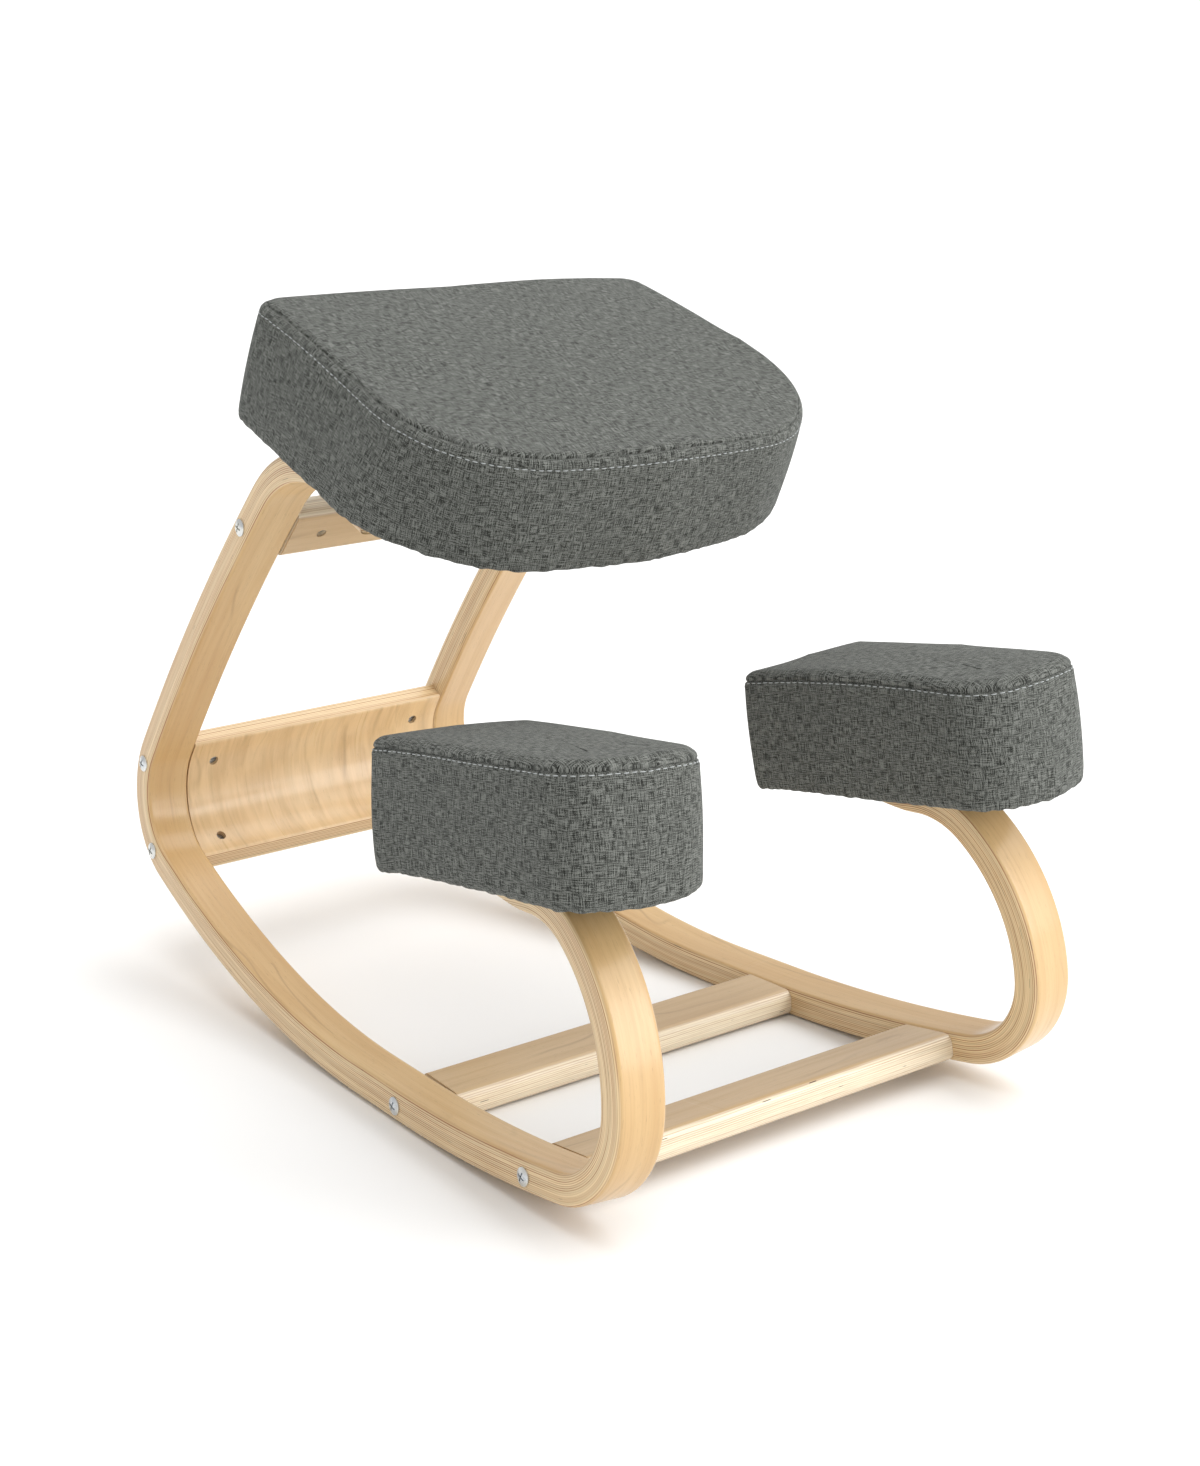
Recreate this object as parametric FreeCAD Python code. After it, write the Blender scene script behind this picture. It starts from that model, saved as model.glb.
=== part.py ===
import FreeCAD, Part
import math
import os
from FreeCAD import Vector as V

os.makedirs("parts", exist_ok=True)

# ---------------------------------------------------------------- driving dimensions (mm, degrees)
# axes: +Z up, -Y the side the sitter faces, +X the sitter's left
# side frame: one bent laminated strip, seen from the side as an open C with a hook at its front
GAUGE_WIDTH = 400.0          # outside width over both frames at the rear lower rail
SPLAY_DEG = 3.7              # each frame turns in towards the rear
LEAN_DEG = 3.5               # each frame leans in towards the top
STRIP_W = 38.0               # strip width, across the chair
STRIP_T = 23.5               # strip thickness, in the plane of the bend
STRIP_EDGE_R = 4.0           # rounded long edges
ARM_TIP_T = 12.0             # the arm under a knee pad thins to this at its end
BASE_Z = 1.3                 # centre line height at the rear lower rail, in the frame's own plane
HEAD_DEG = 179.83            # heading of the centre line there, going forward
# (length, turn) of each run of the centre line
FORWARD = [(209.3, -9.20), (101.0, -84.96), (123.0, -50.30), (54.2, -43.47), (48.0, 0.0)]
REARWARD = [(60.0, 0.0), (152.5, 12.04), (188.2, 11.58), (112.2, 99.31), (308.2, 9.63), (115.2, 65.61), (58.0, 0.0)]
REST_TILT_DEG = 0.17         # turn of the whole chair about X that brings its balance over the floor contact

# bolts through the frames, in the frame's own plane (rearward, up)
BOLT_UPPER = (257.0, 384.2)
BOLT_PANEL_HI = (424.4, 154.6)
BOLT_PANEL_LO = (406.2, 82.8)
BOLT_REAR = (0.0, 1.2)
BOLT_FRONT = (-170.9, 12.6)
BOLT_R = 2.5
BOLT_HOLE_R = 2.8
BOLT_HEAD_R = 6.8
BOLT_HEAD_H = 2.6
BOLT_LEN = 74.0
NUT_DEPTH = 28.0             # from the frame's inner face to the cross dowel nut
PANEL_NUT_DEPTH = 23.0       # the same in the curved panel
NUT_R = 4.0
NUT_HOLE_R = 4.15

RAIL_W = 51.0
RAIL_T = 21.5
RAIL_EDGE_R = 7.0
REAR_RAIL_AT = (-4.3, -0.25)   # middle of the section (rearward, up)
FRONT_RAIL_AT = (-173.2, 11.04)
REAR_RAIL_TILT = 1.5         # rear edge up
FRONT_RAIL_TILT = -7.5       # front edge up
UPPER_RAIL_TILT = 130.5      # along the rear post
JOINT_GAP = 0.1              # between a rail's end and the frame

PANEL_T = 16.0
PANEL_FROM_Z = 72.0          # lower and upper ends of the curved back panel, in the frame's plane
PANEL_TO_Z = 179.0
PANEL_SHIFT = 2.0            # the panel sits this far inside the strip's centre line

# seat cushion
SEAT_TILT = 18.0
SEAT_REAR_Y = 232.8          # rear edge of the underside
SEAT_REAR_Z = 485.9
SEAT_REAR_HALF = 178.5
SEAT_FRONT_HALF = 202.0
SEAT_DEPTH = 288.0
SEAT_BOW = 20.5              # the front edge bows out by this
SEAT_REAR_R = 24.0
SEAT_FRONT_R = 116.0
SEAT_H = 86.0
SEAT_TOP_R = 9.0
SEAT_BOARD_T = 12.0

# knee pads, in each frame's own plane
PAD_TILT = 8.1
PAD_AT = (-155.2, 218.4)     # middle of the underside
PAD_REAR_HALF = 69.2
PAD_FRONT_HALF = 58.6
PAD_DEPTH = 232.8
PAD_BOW = 6.2
PAD_REAR_R = 10.0
PAD_FRONT_R = 37.4
PAD_H = 93.0
PAD_TOP_R = 10.0
PAD_BOARD_T = 10.0

BOW_R_SEAT = 760.0           # wide rounding of the bowed front edges
BOW_R_PAD = 200.0
COVER_T = 1.5
UNDER_T = 1.0                # turned-under cloth and dust cover
HEM_W = 30.0
CUSHION_BOT_R = 5.0
BOARD_INSET = 6.0
SEAT_BOARD_INSET = 17.0      # the seat's foam wraps further round its board
T_NUT_FLANGE_R = 9.0
T_NUT_FLANGE_T = 1.2
T_NUT_R = 4.0
SCREW_R = 3.0
SCREW_HOLE_R = 3.3
SCREW_HEAD_R = 6.0
SCREW_HEAD_H = 3.0
SEAT_SCREWS = (0.18, 0.80)        # along the straight end of each arm, as a share of its length
PAD_SCREWS = (0.20, 0.80)

rad = math.radians


# ---------------------------------------------------------------- the frame's own plane
def frame_matrix():
    e1 = V(math.sin(rad(SPLAY_DEG)), math.cos(rad(SPLAY_DEG)), 0)
    e2 = V(math.sin(rad(LEAN_DEG)), 0, math.cos(rad(LEAN_DEG)))
    e2 = e2 - e1 * (e2 * e1)
    e2.normalize()
    n = e1.cross(e2)
    o = V(-GAUGE_WIDTH / 2, 0, 0)
    return FreeCAD.Matrix(e1.x, e2.x, n.x, o.x, e1.y, e2.y, n.y, o.y, e1.z, e2.z, n.z, o.z, 0, 0, 0, 1)


FM = frame_matrix()


def to_world(shape):
    return shape.transformed(FM, True)


def point_world(a, b, depth):
    return FM.multiply(V(a, b, depth))


def mirrored(shape):
    return shape.mirror(V(0, 0, 0), V(1, 0, 0))


# centre line: each run is (start point, heading, length, curvature)
def runs():
    fwd, back = [], []
    for segs, h0, out in ((FORWARD, HEAD_DEG, fwd), (REARWARD, HEAD_DEG - 180.0, back)):
        y, z, h = 0.0, BASE_Z, rad(h0)
        for length, turn in segs:
            k = rad(turn) / length
            out.append((y, z, h, length, k))
            if abs(k) < 1e-9:
                y += math.cos(h) * length
                z += math.sin(h) * length
            else:
                y += (math.sin(h + k * length) - math.sin(h)) / k
                z += (-math.cos(h + k * length) + math.cos(h)) / k
                h += k * length
    return fwd, back


FWD, BACK = runs()


def along(run, s, side=0.0):
    """Point at distance s of a run, offset to the left of the travel by side."""
    y, z, h, length, k = run
    if abs(k) < 1e-9:
        p = (y + math.cos(h) * s, z + math.sin(h) * s)
        hh = h
    else:
        hh = h + k * s
        p = (y + (math.sin(hh) - math.sin(h)) / k, z + (-math.cos(hh) + math.cos(h)) / k)
    return V(p[0] - math.sin(hh) * side, p[1] + math.cos(hh) * side, 0), hh


def edge(run, s0, s1, side):
    a, b, c = (along(run, s, side)[0] for s in (s0, (s0 + s1) / 2, s1))
    if abs(run[4]) < 1e-9:
        return Part.LineSegment(a, c).toShape()
    return Part.Arc(a, b, c).toShape()


def strip():
    """One side frame's blank, in its own plane, z from 0 (outer face) to STRIP_W."""
    t = STRIP_T / 2
    edges = []
    # travelling rearward the outside of the bend is on the right
    for r in reversed(BACK):
        edges.append(edge(r, r[3], 0, -t))
    for r in FWD:
        edges.append(edge(r, 0, r[3], t))
    a = along(FWD[-1], FWD[-1][3], t)[0]
    b = along(FWD[-1], FWD[-1][3], -t)[0]
    edges.append(Part.LineSegment(a, b).toShape())
    for r in reversed(FWD):
        edges.append(edge(r, r[3], 0, -t))
    for r in BACK:
        edges.append(edge(r, 0, r[3], t))
    a = along(BACK[-1], BACK[-1][3], t)[0]
    b = along(BACK[-1], BACK[-1][3], -t)[0]
    edges.append(Part.LineSegment(a, b).toShape())
    wire = Part.Wire(Part.__sortEdges__(edges))
    solid = Part.Face(wire).extrude(V(0, 0, STRIP_W))
    long_edges = [e for e in solid.Edges if e.BoundBox.ZLength < 1e-6 and e.Length > 30.0]
    solid = solid.makeFillet(STRIP_EDGE_R, long_edges)
    # underside of the arm below the knee pad, cut on a slope
    arm, over = FWD[-1], 6.0
    slope = (STRIP_T - ARM_TIP_T) / arm[3]
    pts = [along(arm, 0, -t)[0], along(arm, arm[3] + over, -t + slope * (arm[3] + over))[0],
           along(arm, arm[3] + over, -t - 5.0)[0], along(arm, 0, -t - 5.0)[0]]
    pts = [V(q.x, q.y, -1.0) for q in pts]
    wedge = Part.Face(Part.makePolygon(pts + [pts[0]])).extrude(V(0, 0, STRIP_W + 2.0))
    return solid.cut(wedge)


def round_hole(center, radius, z0, z1):
    return Part.makeCylinder(radius, z1 - z0, V(center[0], center[1], z0), V(0, 0, 1))


def bolt(center):
    """Domed head outside the strip, cross recess, plain shank."""
    x, y = center
    h, r = BOLT_HEAD_H, BOLT_HEAD_R
    rim = 0.9
    prof = Part.Wire([
        Part.LineSegment(V(0, 0, 0), V(r, 0, 0)).toShape(),
        Part.LineSegment(V(r, 0, 0), V(r, 0, -rim)).toShape(),
        Part.Arc(V(r, 0, -rim), V(r * 0.62, 0, -rim - (h - rim) * 0.68), V(0, 0, -h)).toShape(),
        Part.LineSegment(V(0, 0, -h), V(0, 0, 0)).toShape()])
    head = Part.Face(prof).revolve(V(0, 0, 0), V(0, 0, 1), 360)
    for angle in (0, 90):
        slot = Part.makeBox(7.6, 1.3, 1.7, V(-3.8, -0.65, -h - 0.1))
        slot.rotate(V(0, 0, 0), V(0, 0, 1), angle + 20)
        head = head.cut(slot)
    shank = Part.makeCylinder(BOLT_R, BOLT_LEN, V(0, 0, 0), V(0, 0, 1))
    b = head.fuse(shank).removeSplitter()
    b.translate(V(x, y, 0))
    return b


# ---------------------------------------------------------------- rails and panel
WIDE = 460.0


def end_trim(solid):
    """Cut a cross piece back to the inner faces of both frames."""
    block = Part.makeBox(2400, 2400, 400, V(-1200, -1200, -400 + STRIP_W + JOINT_GAP))
    block = to_world(block)
    return solid.cut(block).cut(mirrored(block))


def board(center_yz, tilt, width, thick, radius):
    b = Part.makeBox(WIDE, width, thick, V(-WIDE / 2, -width / 2, -thick / 2))
    es = [e for e in b.Edges if abs(e.Length - WIDE) < 1e-6]
    b = b.makeFillet(radius, es)
    b.rotate(V(0, 0, 0), V(1, 0, 0), tilt)
    b.translate(V(0, center_yz[0], center_yz[1]))
    return end_trim(b)


def panel_section():
    """Curved panel following the rear bend, made at mid depth of its end."""
    t = PANEL_T / 2
    picks = []
    for r in BACK[2:5]:
        s_lo, s_hi = None, None
        n = 400
        for i in range(n + 1):
            s = r[3] * i / n
            z = along(r, s)[0].y
            if PANEL_FROM_Z <= z <= PANEL_TO_Z:
                s_lo = s if s_lo is None else s_lo
                s_hi = s
        if s_lo is not None and s_hi - s_lo > 1.0:
            picks.append((r, s_lo, s_hi))
    outer = [edge(r, a, b, -t + PANEL_SHIFT) for r, a, b in picks]
    inner = [edge(r, b, a, t + PANEL_SHIFT) for r, a, b in reversed(picks)]
    c0 = Part.LineSegment(outer[-1].lastVertex(True).Point, inner[0].firstVertex(True).Point).toShape()
    c1 = Part.LineSegment(inner[-1].lastVertex(True).Point, outer[0].firstVertex(True).Point).toShape()
    return Part.Wire(Part.__sortEdges__(outer + [c0] + inner + [c1]))


def back_panel():
    wire = panel_section()
    p = point_world(0, 0, STRIP_W + NUT_DEPTH)
    solid = Part.Face(wire).extrude(V(0, 0, WIDE))
    ends = [e for e in solid.Edges if abs(e.Length - WIDE) < 1e-6]
    caps = []
    for e in ends:
        c = e.CenterOfMass
        near = [f for f in ends if f is not e and (f.CenterOfMass - c).Length < PANEL_T + 0.5]
        if near:
            caps.append(e)
    solid = solid.makeFillet(3.0, caps)
    m = FreeCAD.Matrix(0, 0, 1, -WIDE / 2, 1, 0, 0, p.y, 0, 1, 0, p.z, 0, 0, 0, 1)
    solid = solid.transformed(m, True)
    return end_trim(solid)


def cross_nut(bolt_at, axis, length, depth):
    """Cross dowel nut in a rail, on the bolt's line; axis is its own direction (world)."""
    c = point_world(bolt_at[0], bolt_at[1], STRIP_W + depth)
    n = Part.makeCylinder(NUT_R, length, c - axis * (length / 2), axis)
    slot = Part.makeBox(NUT_R * 2 + 2, 1.0, 1.2, V(-NUT_R - 1, -0.5, 0))
    slot.Placement = FreeCAD.Placement(c + axis * (length / 2 - 1.0), FreeCAD.Rotation(V(0, 0, 1), axis))
    n = n.cut(slot)
    return n.cut(to_world(round_hole(bolt_at, BOLT_R + 0.05, 0, BOLT_LEN + 20)))


def nut_hole(bolt_at, axis, reach_out, reach_in, depth):
    c = point_world(bolt_at[0], bolt_at[1], STRIP_W + depth)
    return Part.makeCylinder(NUT_HOLE_R, reach_out + reach_in, c - axis * reach_in, axis)


# ---------------------------------------------------------------- cushions
def plan_points(rear_half, front_half, depth, bow, inset):
    """Corners of the plan with every side moved in by inset; v runs forward as negative."""
    pts = [V(-rear_half, 0, 0), V(rear_half, 0, 0), V(front_half, -depth, 0), V(0, -depth - bow, 0), V(-front_half, -depth, 0)]
    n = len(pts)
    out = []
    for i in range(n):
        a, b, c = pts[i - 1], pts[i], pts[(i + 1) % n]
        u, w = (b - a), (c - b)
        u.normalize()
        w.normalize()
        nu, nw = V(u.y, -u.x, 0), V(w.y, -w.x, 0)       # inward normals for this winding
        d = nu + nw
        d = d * (inset / (1 + nu * nw))
        out.append(b + d)
    return out


def plan_prism(rear_half, front_half, depth, bow, rear_r, front_r, inset, z0, z1, top_r, bot_r):
    pts = plan_points(rear_half, front_half, depth, bow, inset)
    wire = Part.makePolygon(pts + [pts[0]])
    solid = Part.Face(wire).extrude(V(0, 0, z1 - z0))
    solid.translate(V(0, 0, z0))

    def upright(index):
        p = pts[index]
        return [e for e in solid.Edges if abs(e.BoundBox.ZLength - (z1 - z0)) < 1e-6
                and abs(e.CenterOfMass.x - p.x) < 1e-4 and abs(e.CenterOfMass.y - p.y) < 1e-4]
    # the bow is rounded first, on a wide radius, and then the corners
    solid = solid.makeFillet(max(front_r - inset, 2.0), upright(2) + upright(4))
    pr = [e for e in solid.Edges if abs(e.BoundBox.ZLength - (z1 - z0)) < 1e-6 and e.BoundBox.XLength < 1e-6
          and e.BoundBox.YLength < 1e-6 and abs(e.CenterOfMass.y) < inset + 1.0 and abs(abs(e.CenterOfMass.x) - abs(pts[0].x)) < 1e-3]
    solid = solid.makeFillet(max(rear_r - inset, 2.0), pr)
    mid = [e for e in solid.Edges if abs(e.BoundBox.ZLength - (z1 - z0)) < 1e-6 and abs(e.CenterOfMass.x) < 1e-3
           and e.CenterOfMass.y < -depth * 0.8]
    if mid:
        solid = solid.makeFillet(BOW_R_SEAT if depth > 250 else BOW_R_PAD, mid)
    if top_r:
        solid = solid.makeFillet(top_r, [e for e in solid.Edges if e.BoundBox.ZLength < 1e-6 and abs(e.CenterOfMass.z - z1) < 1e-6])
    if bot_r:
        solid = solid.makeFillet(bot_r, [e for e in solid.Edges if e.BoundBox.ZLength < 1e-6 and abs(e.CenterOfMass.z - z0) < 1e-6])
    return solid


def cushion(dims, h, top_r, board_t, screws_xy, board_inset=BOARD_INSET):
    """Board, foam, cover, dust cover and T-nuts of one cushion, underside at z = 0."""
    outer = plan_prism(*dims, 0.0, 0.0, h, top_r, CUSHION_BOT_R)
    cavity = plan_prism(*dims, COVER_T, UNDER_T, h - COVER_T, top_r - COVER_T, CUSHION_BOT_R - 1.0)
    wood = plan_prism(*dims, board_inset, UNDER_T, UNDER_T + board_t, 0.0, 0.0)
    mouth = plan_prism(*dims, BOARD_INSET + HEM_W, -1.0, UNDER_T + 0.5, 0.0, 0.0)
    dust = plan_prism(*dims, BOARD_INSET + HEM_W + 0.2, 0.0, UNDER_T, 0.0, 0.0)
    cover = outer.cut(cavity).cut(mouth)
    foam = cavity.cut(wood)
    holes, nuts = [], []
    top = UNDER_T + board_t
    for x, y in screws_xy:
        barrel = Part.makeCylinder(T_NUT_R, board_t - 1.0, V(x, y, top - board_t + 1.0), V(0, 0, 1))
        flange = Part.makeCylinder(T_NUT_FLANGE_R, T_NUT_FLANGE_T, V(x, y, top), V(0, 0, 1))
        bore = Part.makeCylinder(SCREW_R + 0.05, board_t + 20.0, V(x, y, -2.0), V(0, 0, 1))
        nuts.append(barrel.fuse(flange).removeSplitter().cut(bore))
        holes.append((Part.makeCylinder(T_NUT_R, board_t + 2.0, V(x, y, UNDER_T - 1.0), V(0, 0, 1)),
                      Part.makeCylinder(T_NUT_FLANGE_R, T_NUT_FLANGE_T + 3.0, V(x, y, top - 0.001), V(0, 0, 1)),
                      Part.makeCylinder(SCREW_HOLE_R, 6.0, V(x, y, -3.0), V(0, 0, 1))))
    for a, b, c in holes:
        wood = wood.cut(a)
        foam = foam.cut(b)
        dust = dust.cut(c)
        cover = cover.cut(c)
    return wood, foam, cover, dust, Part.makeCompound(nuts)


def screw(x, y, reach, top):
    """Pan head screw from below: head under the arm, tip in the T-nut; z = 0 is the cushion's underside."""
    head = Part.makeCylinder(SCREW_HEAD_R, SCREW_HEAD_H, V(x, y, -reach - SCREW_HEAD_H), V(0, 0, 1))
    low = [e for e in head.Edges if abs(e.CenterOfMass.z + reach + SCREW_HEAD_H) < 1e-6]
    head = head.makeFillet(1.4, low)
    socket = Part.makeCylinder(1.9, 2.0, V(x, y, -reach - SCREW_HEAD_H - 0.5), V(0, 0, 1))
    shank = Part.makeCylinder(SCREW_R, reach + top, V(x, y, -reach), V(0, 0, 1))
    return head.fuse(shank).removeSplitter().cut(socket)


def solids_of(shapes):
    out = []
    for s in shapes:
        out.extend(s.Solids)
    return Part.makeCompound(out)


# ---------------------------------------------------------------- build
frame = strip()
all_bolts = (BOLT_UPPER, BOLT_PANEL_HI, BOLT_PANEL_LO, BOLT_REAR, BOLT_FRONT)
for c in all_bolts:
    frame = frame.cut(round_hole(c, BOLT_HOLE_R, -1, STRIP_W + 1))
frame = to_world(frame)

# seat placement
st, ct = math.sin(rad(SEAT_TILT)), math.cos(rad(SEAT_TILT))
seat_m = FreeCAD.Matrix(1, 0, 0, 0, 0, ct, -st, SEAT_REAR_Y, 0, st, ct, SEAT_REAR_Z, 0, 0, 0, 1)
# the seat's bearing faces on the arms are planed to the seat's plane
plane_cut = Part.makeBox(900, 700, 120, V(-450, -500, 0))
plane_cut = plane_cut.transformed(seat_m, True)
near_seat = Part.makeBox(900, 420, 200, V(-450, -60, 380))
frame = frame.cut(plane_cut.common(near_seat))
if len(frame.Solids) != 1:
    frame = max(frame.Solids, key=lambda s: s.Volume)

# arm centre line in the seat's own coordinates, for the seat screws
sm_inv = seat_m.inverse()
seat_screws = []
arm = BACK[-1]
a0 = sm_inv.multiply(point_world(*along(arm, 0)[0][:2], STRIP_W / 2))
a1 = sm_inv.multiply(point_world(*along(arm, arm[3])[0][:2], STRIP_W / 2))
for f in SEAT_SCREWS:
    x = a0.x + (a1.x - a0.x) * f
    v = a0.y + (a1.y - a0.y) * f
    seat_screws += [(x, v), (-x, v)]
seat_dims = (SEAT_REAR_HALF, SEAT_FRONT_HALF, SEAT_DEPTH, SEAT_BOW, SEAT_REAR_R, SEAT_FRONT_R)
s_board, s_foam, s_cover, s_dust, s_nuts = cushion(seat_dims, SEAT_H, SEAT_TOP_R, SEAT_BOARD_T, seat_screws, SEAT_BOARD_INSET)
reach_seat = STRIP_T - 0.3
s_screws = solids_of([screw(x, y, reach_seat, UNDER_T + SEAT_BOARD_T) for x, y in seat_screws])
seat_parts = [p.transformed(seat_m, True) for p in (s_board, s_foam, s_cover, s_dust, s_nuts, s_screws)]
for x, y in seat_screws:
    tool = Part.makeCylinder(SCREW_HOLE_R, 80, V(x, y, -60), V(0, 0, 1)).transformed(seat_m, True)
    spot = Part.makeCylinder(SCREW_HEAD_R + 0.4, 40, V(x, y, -reach_seat - 40), V(0, 0, 1)).transformed(seat_m, True)
    if x < 0:
        frame = frame.cut(tool).cut(spot)

# knee pad placement, in the frame's own plane: pad x across (depth), pad y rearward along the pad
sp, cp = math.sin(rad(PAD_TILT)), math.cos(rad(PAD_TILT))
# rearward axis falls by PAD_TILT, across axis is the frame's depth direction
pad_m = FreeCAD.Matrix(0, cp, sp, PAD_AT[0] + cp * PAD_DEPTH / 2,
                       0, -sp, cp, PAD_AT[1] - sp * PAD_DEPTH / 2,
                       1, 0, 0, STRIP_W / 2, 0, 0, 0, 1)
k_inv = pad_m.inverse()
k0, k1 = (k_inv.multiply(V(*along(FWD[-1], s)[0][:2], STRIP_W / 2)) for s in (0, FWD[-1][3]))
pad_screws = [(0.0, k0.y + (k1.y - k0.y) * f) for f in PAD_SCREWS]
pad_dims = (PAD_REAR_HALF, PAD_FRONT_HALF, PAD_DEPTH, PAD_BOW, PAD_REAR_R, PAD_FRONT_R)
p_board, p_foam, p_cover, p_dust, p_nuts = cushion(pad_dims, PAD_H, PAD_TOP_R, PAD_BOARD_T, pad_screws)
# each head is let 1 mm into the arm's sloping underside
reach_pads = [STRIP_T / 2 - k0.z - (STRIP_T - ARM_TIP_T) * f - 1.0 for f in PAD_SCREWS]
p_screws = solids_of([screw(x, y, r, UNDER_T + PAD_BOARD_T) for (x, y), r in zip(pad_screws, reach_pads)])
pad_world = FM.multiply(pad_m)
pad_parts = [p.transformed(pad_world, True) for p in (p_board, p_foam, p_cover, p_dust, p_nuts, p_screws)]
# the arm's bearing face is planed to the pad's underside
frame = frame.cut(Part.makeBox(120, PAD_DEPTH + 20, 60, V(-60, -PAD_DEPTH - 10, 0)).transformed(pad_world, True))
for (x, y), r in zip(pad_screws, reach_pads):
    tool = Part.makeCylinder(SCREW_HOLE_R, 60, V(x, y, -45), V(0, 0, 1)).transformed(pad_world, True)
    spot = Part.makeCylinder(SCREW_HEAD_R + 0.4, 20, V(x, y, -r - 20), V(0, 0, 1)).transformed(pad_world, True)
    frame = frame.cut(tool).cut(spot)

# cross pieces
upper_c = point_world(BOLT_UPPER[0], BOLT_UPPER[1], STRIP_W + NUT_DEPTH)
rear_rail = board(REAR_RAIL_AT, REAR_RAIL_TILT, RAIL_W, RAIL_T, RAIL_EDGE_R)
front_rail = board(FRONT_RAIL_AT, FRONT_RAIL_TILT, RAIL_W, RAIL_T, RAIL_EDGE_R)
upper_rail = board((upper_c.y, upper_c.z), UPPER_RAIL_TILT, RAIL_W, RAIL_T, RAIL_EDGE_R)
panel = back_panel()


def tilt_axis(deg, sign):
    return V(0, -math.sin(rad(deg)) * sign, math.cos(rad(deg)) * sign)


rear_axis = tilt_axis(REAR_RAIL_TILT, -1)        # open downward
front_axis = tilt_axis(FRONT_RAIL_TILT, -1)
upper_axis = tilt_axis(UPPER_RAIL_TILT, 1)       # open forward and down


def panel_normal(bolt_at):
    """Direction from the panel's middle towards its hollow side, at a bolt."""
    best = None
    for r in BACK[2:5]:
        for i in range(201):
            s = r[3] * i / 200
            p, h = along(r, s)
            d = math.hypot(p.x - bolt_at[0], p.y - bolt_at[1])
            if best is None or d < best[0]:
                best = (d, h)
    h = best[1]
    return V(0, -math.sin(h), math.cos(h))


hi_axis = panel_normal(BOLT_PANEL_HI)
lo_axis = panel_normal(BOLT_PANEL_LO)

bolt_groups, nut_groups = {}, {}
for name, at, axis, target, length, depth, hole_in in (
        ("upper_rail", BOLT_UPPER, upper_axis, "upper", 14.0, NUT_DEPTH, 7.5),
        ("rear_rail", BOLT_REAR, rear_axis, "rear", 14.0, NUT_DEPTH, 7.5),
        ("front_rail", BOLT_FRONT, front_axis, "front", 14.0, NUT_DEPTH, 7.5),
        ("panel", BOLT_PANEL_HI, hi_axis, "panel", 10.0, PANEL_NUT_DEPTH, 5.4),
        ("panel", BOLT_PANEL_LO, lo_axis, "panel", 10.0, PANEL_NUT_DEPTH, 5.4)):
    b = to_world(bolt(at))
    n = cross_nut(at, axis, length, depth)
    bolt_groups.setdefault(name, []).extend([b, mirrored(b)])
    nut_groups.setdefault(name, []).extend([n, mirrored(n)])
    clear = to_world(round_hole(at, BOLT_HOLE_R, STRIP_W - 1, BOLT_LEN + 2))
    well = nut_hole(at, axis, 30.0, hole_in, depth)
    for tool in (clear, mirrored(clear), well, mirrored(well)):
        if target == "upper":
            upper_rail = upper_rail.cut(tool)
        elif target == "rear":
            rear_rail = rear_rail.cut(tool)
        elif target == "front":
            front_rail = front_rail.cut(tool)
        else:
            panel = panel.cut(tool)

nodes = {
    "right_side_frame": frame,
    "left_side_frame": mirrored(frame),
    "back_panel": panel,
    "upper_cross_rail": upper_rail,
    "rear_lower_rail": rear_rail,
    "front_lower_rail": front_rail,
    "seat_board": seat_parts[0],
    "seat_foam": seat_parts[1],
    "seat_cover": seat_parts[2],
    "seat_dust_cover": seat_parts[3],
    "seat_tee_nuts": seat_parts[4],
    "seat_screws": seat_parts[5],
}
for key in bolt_groups:
    nodes[key + "_bolts"] = solids_of(bolt_groups[key])
    nodes[key + "_barrel_nuts"] = solids_of(nut_groups[key])
for side, fn in (("right", lambda s: s), ("left", mirrored)):
    for label, shape in zip(("board", "foam", "cover", "dust_cover", "tee_nuts", "screws"), pad_parts):
        nodes["%s_knee_pad_%s" % (side, label)] = fn(shape)

# rest pose: turn about X, then put the middle of the bounding box's underside at the origin
for s in nodes.values():
    s.rotate(V(0, 0, 0), V(1, 0, 0), REST_TILT_DEG)
box = FreeCAD.BoundBox()
for s in nodes.values():
    box.add(s.optimalBoundingBox(False))
shift = V(-(box.XMin + box.XMax) / 2, -(box.YMin + box.YMax) / 2, -box.ZMin)
for name, s in nodes.items():
    s.translate(shift)
    s.exportStep("parts/%s.step" % name)
print("arm in seat", a0, a1, "arm in pad", k0, k1)
print("shift", shift, "size", box.XLength, box.YLength, box.ZLength)
for name, s in nodes.items():
    print("%-28s solids %d valid %s volume %.0f" % (name, len(s.Solids), s.isValid(), s.Volume))
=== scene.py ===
import math

import bmesh
import bpy
import numpy as np
from mathutils import Matrix, Vector, noise


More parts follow.
